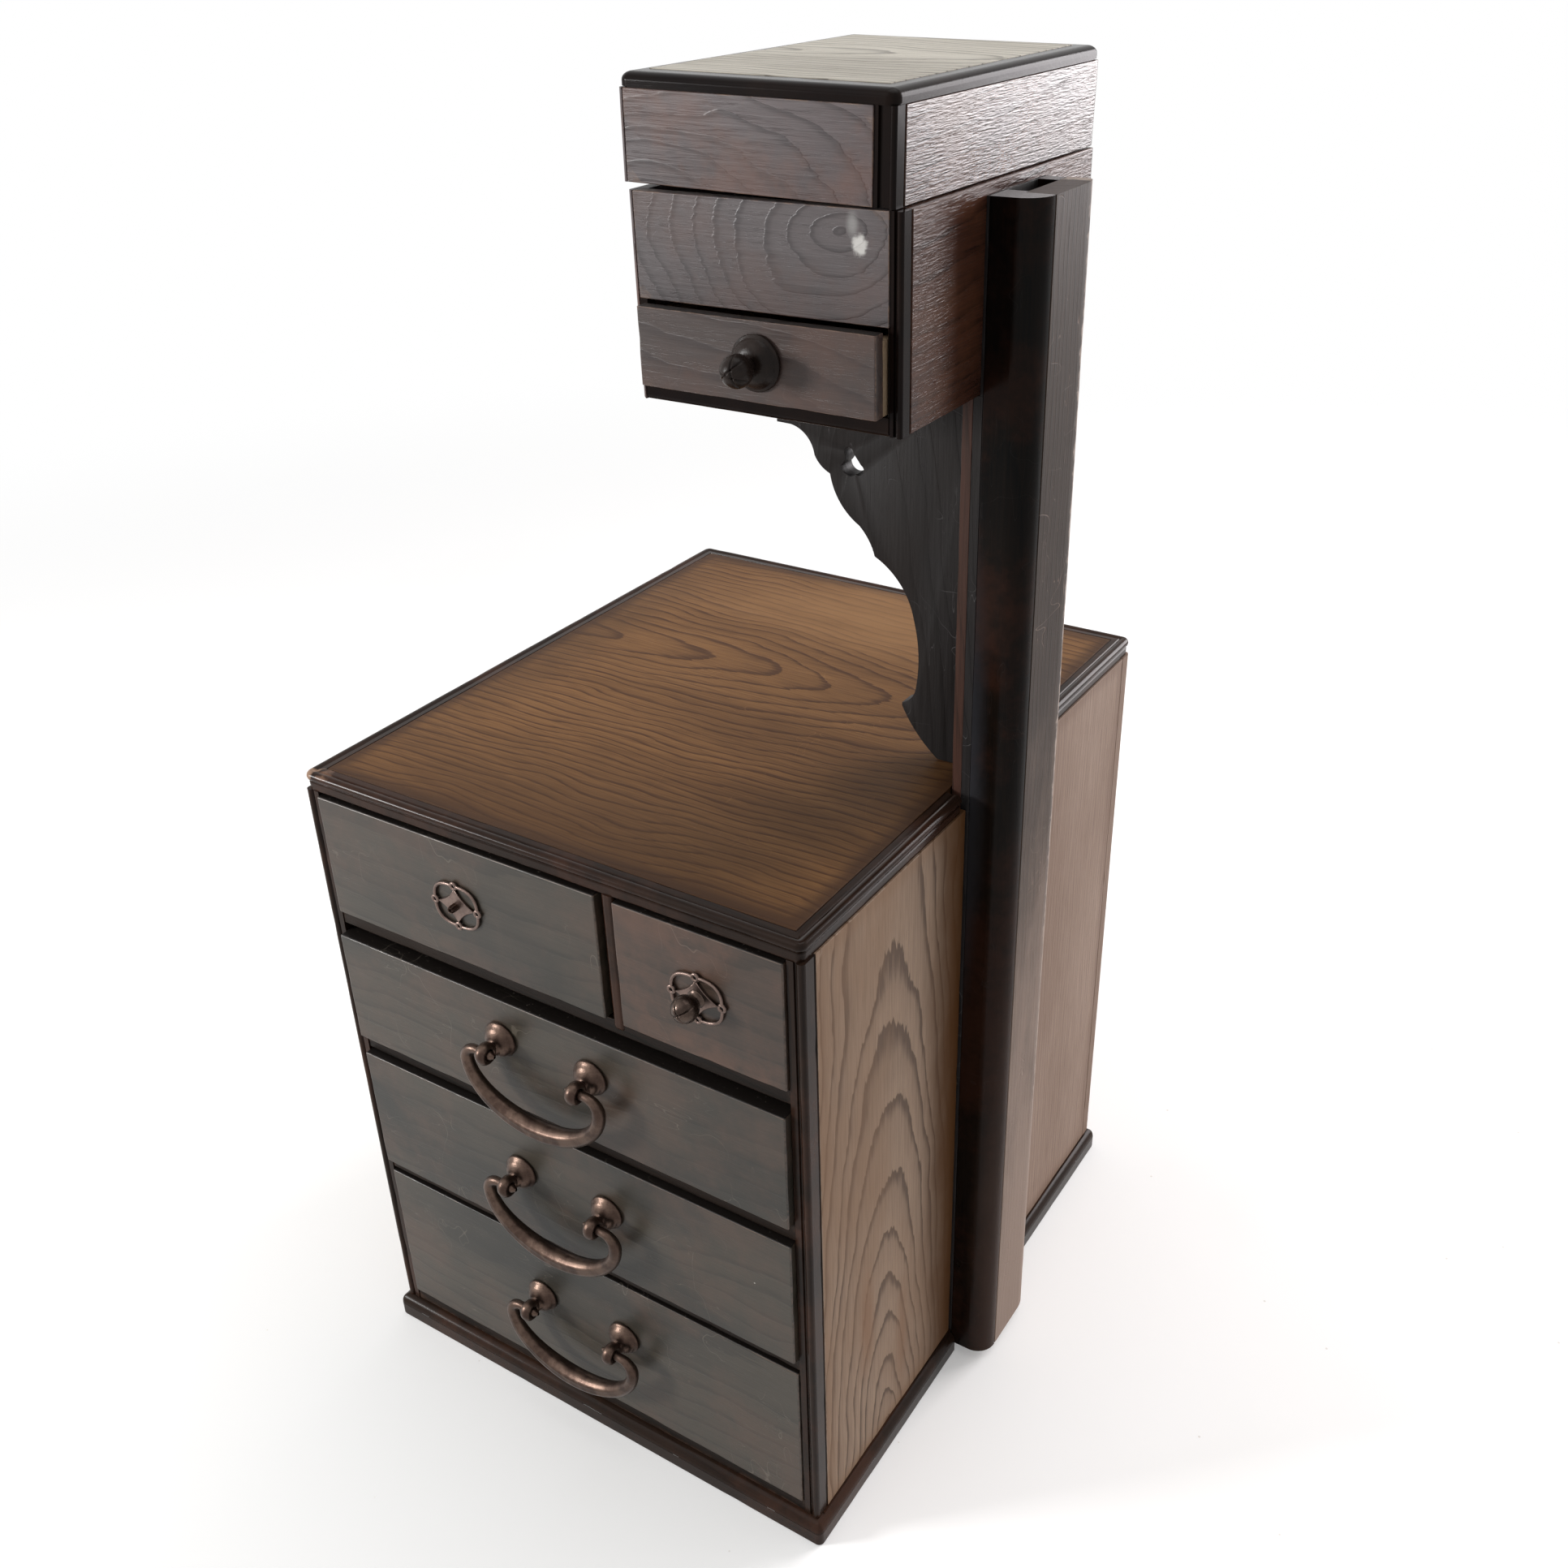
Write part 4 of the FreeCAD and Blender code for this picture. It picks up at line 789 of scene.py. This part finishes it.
def make_top():
    low, high = span("top_panel")
    board("top_board", top_wood, "chest", "top_panel", (low[0] + 0.15, low[1] + 0.15, UNDER),
          (high[0] - 0.15, high[1] - 0.15, TOP - 0.1), rounds(0.25, z1=0.35, z0=0), 0, 0.0, step=6,
          wear=0.08)
    runs = [
        *sides((6.5, -7.3), (0.8, -7.3), (0.7, -4.3), (1.2, -3.85)),
        arc(1.95, -1.95, 1.95, 250, 75, 12),
        *sides((2.45, -0.07), (3.7, -0.55), (4.1, -0.25), (6.3, -0.15), (6.5, -0.7)),
    ]
    gap_front, gap_back = POST_FRONT - MOULDING_GAP, POST_BACK + MOULDING_GAP
    corners = [(RIGHT, gap_back), (RIGHT, BACK), (LEFT, BACK), (LEFT, FRONT), (RIGHT, FRONT),
               (RIGHT, gap_front)]
    shell = Shell()
    strip(shell, corners, runs, TOP, 3.4, wear=0.10, seed=8.1)
    shell.build("top_moulding", top_moulding_wood, "chest", "top_mouldings")


# The post, its bracket and the upper box

def make_post():
    shell = Shell()
    low, high = post_low[2], post_high[2]
    x = RIGHT - WALL + 0.3
    foot = span("post_inner_board")[0][2]
    block(shell, (x + 0.2, POST_FRONT, foot), (x + 3.9, POST_BACK, BOX_LOW), 0.3, 2, 9.2)
    block(shell, (x, POST_FRONT - 3, foot), (x + 2.4, POST_BACK + 3, UNDER), 0.3, 2, 9.4)
    shell.build("inner_board", strip_wood, "ruler_post", "post_inner_board")
    shell = Shell()
    block(shell, (x + 3.9, POST_FRONT, foot), (CASING, POST_BACK, BOX_LOW), 0.15, 2, 9.1)
    block(shell, (RIGHT, POST_FRONT, BOX_LOW), (CASING, POST_BACK, high), 0.1, 2, 9.6)
    shell.build("inner_lining", bracket_wood, "ruler_post")
    front, seam = POST_FRONT, POST_FRONT + SEAM
    corner = 8.5
    shell = Shell()
    column(shell, [
        [(CASING, SLOT_FRONT), (CASING, front + 0.4)],
        arc(CASING + 0.4, front + 0.4, 0.4, 180, 270, 4),
        [(CASING + 0.4, front), (POST_OUT - corner, front)],
        arc(POST_OUT - corner, front + corner, corner, 270, 360, 12),
        *sides((POST_OUT, front + corner), (POST_OUT - 0.5, front + 8.75), (POST_OUT - 0.5, seam),
               (SLOT_OUT, seam), (SLOT_OUT, SLOT_FRONT), (CASING, SLOT_FRONT)),
    ], low, high, seed=10.1, across=0)
    shell.build("front_casing", post_wood_with_painted_reflections, "ruler_post", "post_front_stile")
    shell = Shell()
    column(shell, [
        *sides((SLOT_OUT, POST_BACK), (SLOT_OUT, seam), (POST_OUT - 0.5, seam), (POST_OUT, front + 9.5),
               (POST_OUT, POST_BACK - 7.5)),
        arc(POST_OUT - 3.0, POST_BACK - 7.5, 3.0, 0, 90, 8, other=7.5),
        [(POST_OUT - 3.0, POST_BACK), (SLOT_OUT, POST_BACK)],
    ], low, high, seed=10.7, wear=0.08)
    shell.build("outer_plank", plank_wood, "ruler_post", "post_outer_board")
    board("rear_casing", post_wood_with_painted_reflections, "ruler_post", "post_back_stile", *span("post_back_stile"), 0.2, 2, 11.2)


def make_bracket():
    """The bracket's own mesh with its edges rounded and the wood's coordinates laid on it."""
    node, name = "bracket", "scroll_bracket"
    mesh = nodes[node].data.copy()
    mesh.materials.clear()
    piece = in_scene(name, mesh)
    weld = piece.modifiers.new("weld", "WELD")
    weld.merge_threshold = 0.00001
    plain = piece.modifiers.new("plain", "DECIMATE")
    plain.decimate_type = "DISSOLVE"
    plain.angle_limit = math.radians(1)
    bevel = piece.modifiers.new("bevel", "BEVEL")
    bevel.width = 0.5 * MM
    bevel.segments = 2
    bevel.limit_method = "ANGLE"
    bevel.angle_limit = math.radians(35)
    evaluated = piece.evaluated_get(bpy.context.evaluated_depsgraph_get())
    final = bpy.data.meshes.new_from_object(evaluated)
    piece.modifiers.clear()
    piece.data = final
    final.name = name
    places = points_of(final)
    centre = (places.min(0) + places.max(0)) / 2
    count = len(places)
    mark(final, (places - centre)[:, [2, 0, 1]], np.full(count, FAR_FROM_EDGE), np.full(count, 12.5))
    final.shade_smooth()
    final.set_sharp_from_angle(angle=math.radians(32))
    final.materials.clear()
    final.materials.append(bracket_wood)
    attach(piece, "ruler_post")
    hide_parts(node)


def left_section(x, y, back):
    """The outline of a box's left side: a rounded corner, a fine groove and a rebate for the front."""
    inner, rebate = x + BOX_WALL, y + BOX_WALL
    return [
        [(x, back - 1.8), (x, y + 1.5)],
        arc(x + 1.5, y + 1.5, 1.5, 180, 270, 6),
        *sides((x + 1.5, y), (x + 1.7, y + 0.6), (x + 1.7, rebate), (inner, rebate), (inner, back),
               (x + 1.8, back)),
        arc(x + 1.8, back - 1.8, 1.8, 90, 180, 6),
    ]


def corner_strip(x, y, end):
    """The outline of a box's right front corner: a sunk strip, a bead and a groove beside the side wall."""
    inner, rebate = x - BOX_WALL, y + BOX_WALL
    return [
        *sides((x - end, rebate), (x - end, y + 0.5), (x - end + 1.2, y + 0.5),
               (x - end + 1.4, y + 1.3), (x - 2.1, y + 1.3)),
        arc(x - 1.05, y + 1.05, 1.05, 180, 360, 9),
        *sides((x, y + 1.05), (x, y + 4.9), (x - 0.5, y + 5.1), (x - 0.5, y + STRIP_DEEP),
               (inner, y + STRIP_DEEP), (inner, rebate), (x - end, rebate)),
    ]


def right_wall(name, material, x, y, back, low, high, end, seed, body, node, move=None):
    """A box's right side: the board with its grain lengthwise, and the black corner strip in front of it."""
    board(name + "_wall", material, body, node, (x - BOX_WALL, y + STRIP_DEEP, low), (x, back, high),
          rounds(0.3, x1=1.0, y1=2.2), 1, seed, wear=0.05, move=move)
    shell = Shell()
    column(shell, corner_strip(x, y, end), low, high, seed=seed + 0.4)
    shell.build(name + "_corner", rim_wood, body, move=move)


def make_box():
    y, back = BOX_FRONT, BOX_BACK
    radius = 2.2
    shell = Shell()
    column(shell, left_section(BOX_LEFT, y, back), BOX_LOW, BOX_TOP, seed=13.1, wear=0.06)
    for points in shell.points:
        inner = np.column_stack([np.minimum(points[:, 0] - BOX_LEFT - radius, 0),
                                 np.minimum(points[:, 2] - BOX_LOW - radius, 0)])
        length = np.linalg.norm(inner, axis=1)
        over = np.where(length > radius, radius / np.maximum(length, 1e-9), 1.0)
        points[:, 0] += inner[:, 0] * (over - 1)
        points[:, 2] += inner[:, 1] * (over - 1)
    shell.build("box_left_wall", lid_wood_with_painted_sheen, "ruler_post", "box_left_side")
    right_wall("box_right", box_gloss, RIGHT, y, back, BOX_LOW, BOX_TOP, 4.1, 13.4, "ruler_post",
               "box_right_side")
    low, high = BOX_LEFT + 1.75, RIGHT - 4.15
    inside = y + BOX_BOARD
    panel_low = span("box_front_panel")[0][2]
    floor_low, floor_high = span("box_floor")
    rail_top = floor_high[2]
    board("box_front_board", box_wood_with_painted_sheen, "ruler_post", "box_front_panel", (low, y, panel_low),
          (high, inside, BOX_TOP), 0.3, 0, 0.0, wear=0.1)
    shell = Shell()
    block(shell, (low, y + 0.2, BOX_LOW), (high, inside, rail_top), rounds(0.3, z0=1.6, y0=1.2), 0, 13.9)
    block(shell, (low, y + 0.2, rail_top), (BOX_LEFT + 4.6, inside, panel_low), 0.15, 2, 14.3)
    block(shell, (RIGHT - 4.6, y + 0.2, rail_top), (high, inside, panel_low), 0.15, 2, 14.6)
    shell.build("box_front_rail", rim_wood, "ruler_post")
    board("box_bottom", lid_wood_with_painted_sheen, "ruler_post", "box_floor", floor_low + np.array([0, BOX_WALL, 0]),
          floor_high, 0.2, 0, 15.1)
    board("box_rear_wall", lid_wood_with_painted_sheen, "ruler_post", "box_back", *span("box_back"), 0.2, 0, 15.5)


def make_lid():
    """The lid in its own frame, its back right lower corner at zero, then moved to its place askew."""
    x, y = BOX_LEFT - RIGHT, BOX_FRONT - BOX_BACK
    tall = 30.3
    shoulder = tall - 4.5
    place = Matrix.Translation(Vector((RIGHT - 0.5, BOX_BACK, BOX_TOP + 0.3)) * MM)
    move = place @ Matrix.Rotation(math.radians(-1), 4, "Z") @ Matrix.Rotation(math.radians(1), 4, "Y")
    shell = Shell()
    column(shell, left_section(x, y, 0.0), 0.0, shoulder, seed=16.1, wear=0.06)
    shell.build("lid_left_wall", lid_wood_with_painted_sheen, "lid", "lid_left_side", move)
    right_wall("lid_right", lid_gloss, 0.0, y, 0.0, 0.0, shoulder, 6.8, 16.5, "lid", "lid_right_side", move)
    board("lid_front_board", lid_wood_with_painted_sheen, "lid", "lid_front", (x + 1.75, y, 0.0),
          (-6.85, y + BOX_BOARD, shoulder), 0.3, 0, 0.0, wear=0.1, move=move)
    board("lid_rear_wall", lid_wood_with_painted_sheen, "lid", "lid_back", (x + BOX_WALL, -BOX_WALL, 0.0),
          (-BOX_WALL, 0.0, shoulder), 0.2, 0, 17.2, move=move)
    shell = Shell()
    block(shell, (x, y, shoulder + 0.35), (0.0, 0.0, tall - 0.25), rounds(3.4, z0=0, z1=2.4), 0, 17.7,
          wear=0.06)
    block(shell, (x + 0.7, y + 0.7, shoulder - 0.1), (-0.7, -0.7, shoulder + 0.35),
          rounds(3.0, z0=0, z1=0), 0, 17.8, wear=0)
    shell.build("lid_rim", rim_wood, "lid", "lid_top", move)
    board("lid_top_board", lid_top_painted_sheen_wood, "lid", None, (x + 5.0, y + 9.0, tall - 1.0),
          (-7.0, -6.0, tall - 0.02), rounds(0.25, z0=0), 0, 0.0, move=move, slot="lacquered_wood")


# Drawers and their fittings

def make_drawer_fronts():
    for name, material in (("left", drawer_wood), ("right", red_wood), ("second", drawer_wood),
                           ("third", drawer_wood), ("deep", drawer_wood)):
        low, high = span(name + "_drawer_front")
        if name == "left":
            high[0] -= 1.8
        board(name + "_front_board", material, name + "_drawer", name + "_drawer_front", low, high,
              rounds(0.3, y0=0.8, x0=0.8, x1=0.8, z0=0.6, z1=0.7), 0, seed=low[2] / 17, wear=0.22,
              dark_top=True)
    low, high = span("upper_drawer_front")
    joint = low[1] + 4.2
    board("upper_front_board", upper_drawer_wood, "upper_drawer", "upper_drawer_front", low,
          (high[0], joint, high[2]), rounds(0.3, y0=0.7, x0=0.8, x1=0.8), 0, 19.2, wear=0.2, dark_top=True)
    board("upper_front_back", raw_wood, "upper_drawer", None, (low[0] + 0.2, joint, low[2] + 0.2),
          (high[0] - 0.2, high[1], high[2] - 2.4), 0.2, 0, 19.6, slot="raw_wood")


def bail_ridge(share, turn):
    """Two fine lines along the front of the bail's thick middle."""
    middle = np.clip(1.25 - np.abs(share - 0.5) * 3.4, 0, 1)
    lines = sum(np.exp(-((turn - at) / 6.0) ** 2) for at in (250.0, 292.0))
    groove = np.exp(-((turn - 271.0) / 12.0) ** 2)
    return middle * (lines * 0.38 - groove * 0.26)


def make_handles():
    for name in ("second", "third", "deep"):
        body = name + "_drawer"
        low, high = span(name + "_handle_mounts")
        face = high[1]
        middle = (low[0] + high[0]) / 2
        cap = 6.8
        half = (high[0] - low[0]) / 2 - cap
        mount_z = high[2] - cap
        eye_y, eye_z = face - 9.0, mount_z - 1.0
        shell = Shell()
        for side in (-1, 1):
            x = middle + half * side
            profile = ([(cap, 0.0), (7.2, 0.3), (7.3, 0.9), (7.1, 1.4), (6.6, 1.7)]
                       + arc(0.0, 1.6, 6.3, 12, 62, 9, other=3.6) + [(2.5, 5.6), (1.9, 6.6), (0.0, 7.0)])

            def hood(points, normals, face=face):
                out = np.clip((face - points[..., 1]) / 5.5, 0, 1)
                points = points.copy()
                points[..., 2] -= out ** 2 * 1.9
                return points, normals
            lathe(shell, profile, (x, face, mount_z), seed=side * 0.7, shape=hood)
            eye = [(2.95 + 1.55 * math.cos(t), 2.3 * math.sin(t)) for t in np.linspace(0, 2 * math.pi, 29)]
            lathe(shell, eye, (x, eye_y, eye_z), (1, 0, 0), seed=side * 0.4)
            neck = [(2.6, 0.0), (2.2, 1.0), (1.9, 2.0), (1.8, 3.4)]
            lathe(shell, neck, (x, face - 3.0, eye_z), seed=side * 0.3, count=24)
        shell.build(name + "_mounts", bronze, body, name + "_handle_mounts")
        make_bail(name, middle, eye_y, eye_z)


def make_bail(name, x, y, z):
    half, bend, drop = 31.2, 5.2, 26.6
    path, radii = [], []
    pin_end = 16.7
    for share in np.linspace(0, 1, 6):
        path.append((-pin_end - share * (half - bend - pin_end), 0.0))
        radii.append(1.75 * min(1.0, share * 4 + 0.35))
    for turn in np.radians(np.linspace(90, 180, 7))[1:]:
        path.append((-(half - bend) + bend * math.cos(turn), -bend + bend * math.sin(turn)))
        radii.append(1.75 + 0.75 * (turn / math.pi * 2 - 1))
    for turn in np.radians(np.linspace(180, 270, 22))[1:]:
        path.append((half * math.cos(turn), -bend + (drop - bend) * math.sin(turn)))
        share = (math.degrees(turn) - 180) / 90
        radii.append(2.5 + 1.35 * (3 * share ** 2 - 2 * share ** 3))
    path += [(-px, pz) for px, pz in path[-2::-1]]
    radii += radii[-2::-1]
    centres = [(x + px, y, z + pz) for px, pz in path]
    shell = Shell()
    tube(shell, centres, radii, seed=len(name), ridge=bail_ridge)
    shell.build(name + "_bail_bar", bronze, name + "_bail", name + "_bail")


def middle_of(node):
    """A node's middle across and upwards."""
    low, high = span(node)
    return (low[0] + high[0]) / 2, (low[2] + high[2]) / 2


def make_plate(name, node, body):
    """The openwork plate: rim arcs between four eyelets around a diamond with hollow sides."""
    low, high = span(node)
    x, z = middle_of(node)
    wide, tall = (high[0] - low[0]) / 2, (high[2] - low[2]) / 2
    face = high[1]
    shell = Shell()
    tips = [np.array(tip) for tip in ((0, 1), (-1, 0), (0, -1), (1, 0))]
    size, middle = np.array([wide, tall]), np.array([x, z])
    hub = size - 1.85
    outline = []
    for index, tip in enumerate(tips):
        after = tips[(index + 1) % 4]
        ends = ((tip * hub + after * 1.2, after * hub + tip * 1.2, 0.19, 17),
                (tip * (hub - 1.0), after * (hub - 1.0), -0.075, 15))
        for start, stop, push, count in ends:
            shares = np.linspace(0, 1, count)[:, None]
            curve = middle + start * (1 - shares) + stop * shares
            curve = curve + (tip + after) * size * push * shares * (1 - shares) * 4
            if push > 0:
                tube(shell, [(px, face - 0.75, pz) for px, pz in curve], np.full(count, 0.66), count=14,
                     seed=index)
            else:
                outline += curve[:-1].tolist()
        centre = np.array((x + tip[0] * hub[0], face - 0.85, z + tip[1] * hub[1]))
        turns = np.linspace(0, 2 * math.pi, 29)
        ring = [centre + (1.2 * math.cos(t), 0, 1.2 * math.sin(t)) for t in turns]
        tube(shell, ring, np.full(29, 0.62), count=14, seed=index + 4)
    outline = np.array(outline)
    levels = ((1.0, 0.0), (1.0, 0.75), (0.93, 1.05), (0.6, 1.15), (0.3, 1.2), (0.0, 1.2))
    rows = []
    for share, height in levels:
        ring = np.array([(x, z)]) + (outline - np.array([(x, z)])) * share
        rows.append(np.column_stack([ring[:, 0], np.full(len(ring), face - height), ring[:, 1]]))
    grid = np.array(rows)
    grid = np.concatenate([grid, grid[:, :1]], axis=1)
    normals = np.zeros_like(grid)
    normals[..., 1] = -1.0
    outward = grid[:2] - np.array([x, face, z])
    outward[..., 1] = 0
    normals[:2] = outward
    shell.grid(grid, normals, grid - np.array([x, face, z]), FAR_FROM_EDGE, 3.0, flip=True)
    shell.build(name, plate_bronze, body, node)


def slotted(lines, centre, depth, width):
    """A change of shape that cuts fine lines into the front of a ball."""
    def shape(points, normals):
        apart = points - np.array(centre)
        points = points.copy()
        facing = np.clip(-apart[..., 1] / 3.0, 0, 1)
        for angle, offset in lines:
            across = (apart[..., 0] * math.cos(angle) + apart[..., 2] * math.sin(angle)) - offset
            cut = np.exp(-(across / width) ** 2) * facing * depth
            points -= apart / np.linalg.norm(apart, axis=-1, keepdims=True) * cut[..., None]
        return points, normals
    return shape


def make_pull(name, node, body, material, place, ball, foot, flare, lines, depth, width, seed=0.0):
    """A ball on a flaring foot, with fine lines cut across its front. Place is the foot's middle."""
    x, face, z = place
    neck = flare[-1][0]
    lean = math.asin(neck / ball)
    profile = (flare + [(neck, foot - ball * math.cos(lean))]
               + arc(0.0, foot, ball, -90 + math.degrees(lean), 90, 70))
    shell = Shell()
    lathe(shell, profile, place, seed=seed, count=200,
          shape=slotted(lines, (x, face - foot, z), depth, width))
    shell.build(name, material, body, node)


def make_knobs():
    make_plate("left_openwork", "left_plate", "left_drawer")
    make_plate("right_openwork", "right_plate", "right_drawer")
    x, z = middle_of("screw_stub")

    def star(points, normals):
        turn = np.arctan2(points[..., 2] - z, points[..., 0] - x)
        swell = 1 + 0.22 * np.cos(turn * 6)
        points = points.copy()
        points[..., 0] = x + (points[..., 0] - x) * swell
        points[..., 2] = z + (points[..., 2] - z) * swell
        return points, normals
    shell = Shell()
    lathe(shell, [(1.25, 0), (1.25, 1.6), (1.1, 2.9), (0.95, 3.1), (0.7, 2.6), (0.55, 1.4), (0.0, 1.3)],
          (x, span("screw_stub")[1][1], z), shape=star)
    shell.build("broken_screw", bronze, "left_drawer", "screw_stub")

    low, high = span("ball_knob")
    ball_x, ball_z = middle_of("ball_knob")
    make_pull("ball_pull", "ball_knob", "right_drawer", ball_bronze, (ball_x, high[1], ball_z), 4.8,
              (high[1] - low[1]) / 2 + 0.1, [(3.4, 0.0), (2.9, 0.5), (2.2, 0.9)],
              ((0.55, 0.2), (2.15, 0.1)), 0.55, 0.26)

    rosette_x, rosette_z = middle_of("upper_rosette")
    shell = Shell()
    lathe(shell, [(7.8, 0.0), (8.4, 0.4), (8.5, 0.9), (8.2, 1.3), (7.6, 1.3), (7.3, 1.7), (6.6, 3.0),
                  (5.2, 4.0), (3.6, 4.5), (3.0, 4.4), (0.0, 4.4)],
          (rosette_x, span("upper_rosette")[1][1], rosette_z), seed=5, count=64)
    shell.build("rosette_disc", dark_bronze, "upper_drawer", "upper_rosette")
    low, high = span("upper_knob")
    make_pull("upper_pull", "upper_knob", "upper_drawer", dark_bronze, (rosette_x, high[1], rosette_z), 5.0,
              high[1] - low[1] - 5.6, [(3.2, 0.0), (2.5, 0.6), (2.3, 1.2)],
              ((0.2, 1.2), (1.3, -0.6), (2.3, 0.5)), 0.40, 0.24, seed=6)


def dress_hidden():
    """Bare wood on the pieces inside, which keep their own meshes."""
    for name, item in nodes.items():
        if item.hide_render:
            continue
        places = points_of(item.data)
        count = len(places)
        mark(item.data, places[:, [1, 0, 2]], np.full(count, FAR_FROM_EDGE), np.full(count, len(name)))
        item.data.materials.clear()
        item.data.materials.append(raw_wood)


# Floor, light and camera

def make_stage():
    mesh = bpy.data.meshes.new("floor")
    reach = 6.0
    mesh.from_pydata([(-reach, -reach, 0), (reach, -reach, 0), (reach, reach, 0), (-reach, reach, 0)], [],
                     [(0, 1, 2, 3)])
    floor = in_scene("floor", mesh)
    paint = Paint(bpy.data.materials.new("floor_paper"))
    texture = paint.node("ShaderNodeTexCoord").outputs["Object"]
    grime = paint.noise(texture, (6.0, 6.0, 6.0), 4.0)
    colour = paint.mix(paint.between(grime, 0.5, 0.7, 0.0, 0.4), (0.80, 0.795, 0.785), (0.76, 0.75, 0.73))
    cells = paint.node("ShaderNodeTexVoronoi",
                       {"Vector": paint.scaled(texture, (95.0, 95.0, 95.0)), "Scale": 1.0})
    draw = paint.node("ShaderNodeSeparateXYZ", {0: cells.outputs["Color"]}).outputs[0]
    speck = paint.math("MULTIPLY", paint.between(draw, 0.86, 0.88),
                       paint.between(cells.outputs["Distance"], 0.075, 0.035))
    colour = paint.mix(paint.math("MULTIPLY", speck, 0.6), colour, (0.45, 0.42, 0.38))
    away = paint.node("ShaderNodeVectorMath", {0: texture}, operation="LENGTH").outputs["Value"]
    far = paint.between(away, 0.35, 1.6)
    colour = paint.mix(far, colour, (0.0, 0.0, 0.0))
    glow = paint.math("MULTIPLY", paint.seen(), paint.math("MULTIPLY_ADD", far, 0.75, 0.25))
    mesh.materials.append(paint.finish(Base_Color=colour, Roughness=0.8, Specular_IOR_Level=0.0,
                                       Emission_Color=(1.0, 1.0, 1.0), Emission_Strength=glow))


def lamp(name, place, target, wide, tall, power, colour=(1.0, 1.0, 1.0)):
    data = bpy.data.lights.new(name, "AREA")
    data.shape = "RECTANGLE"
    data.size, data.size_y = wide, tall
    data.energy = power
    data.color = colour
    item = in_scene(name, data)
    item.location = place
    item.rotation_euler = (Vector(target) - Vector(place)).to_track_quat("-Z", "Y").to_euler()


def make_light():
    """The world's even level, white only where it is seen, and four lamps."""
    paint = Paint(bpy.data.worlds.new("studio"))
    bpy.context.scene.world = paint.owner
    strength = paint.between(paint.seen(), 0.0, 1.0, 0.33, 1.0)
    background = paint.node("ShaderNodeBackground", {"Color": (1.0, 1.0, 1.0, 1.0), "Strength": strength})
    paint.node("ShaderNodeOutputWorld", {"Surface": background.outputs[0]})
    lamp("key", (-1.05, -1.05, 0.62), (0.0, 0.0, 0.22), 0.30, 0.30, 18.0)
    lamp("fill", (-0.5, -1.0, 1.5), (0.0, 0.0, 0.25), 1.0, 1.0, 2.5)
    lamp("rear_window", (0.80, 1.43, 0.76), (0.11, 0.0, 0.50), 0.8, 0.95, 29.0, (1.0, 0.96, 0.98))
    lamp("overhead", (0.2, 0.4, 2.4), (0.0, 0.0, 0.3), 1.6, 1.6, 15.0)


def make_camera():
    data = bpy.data.cameras.new("camera")
    data.lens = 36.208
    data.sensor_width = 36.0
    camera = in_scene("camera", data)
    camera.location = (0.32473, -0.45900, 0.56475)
    camera.rotation_euler = Euler([math.radians(angle) for angle in (60.3584, 1.6323, 32.8324)], "XYZ")
    bpy.context.scene.camera = camera


make_base()
make_carcass()
make_top()
make_post()
make_box()
make_bracket()
make_lid()
make_drawer_fronts()
make_handles()
make_knobs()
dress_hidden()
make_stage()
make_light()
make_camera()
bpy.context.scene.view_settings.view_transform = "Standard"
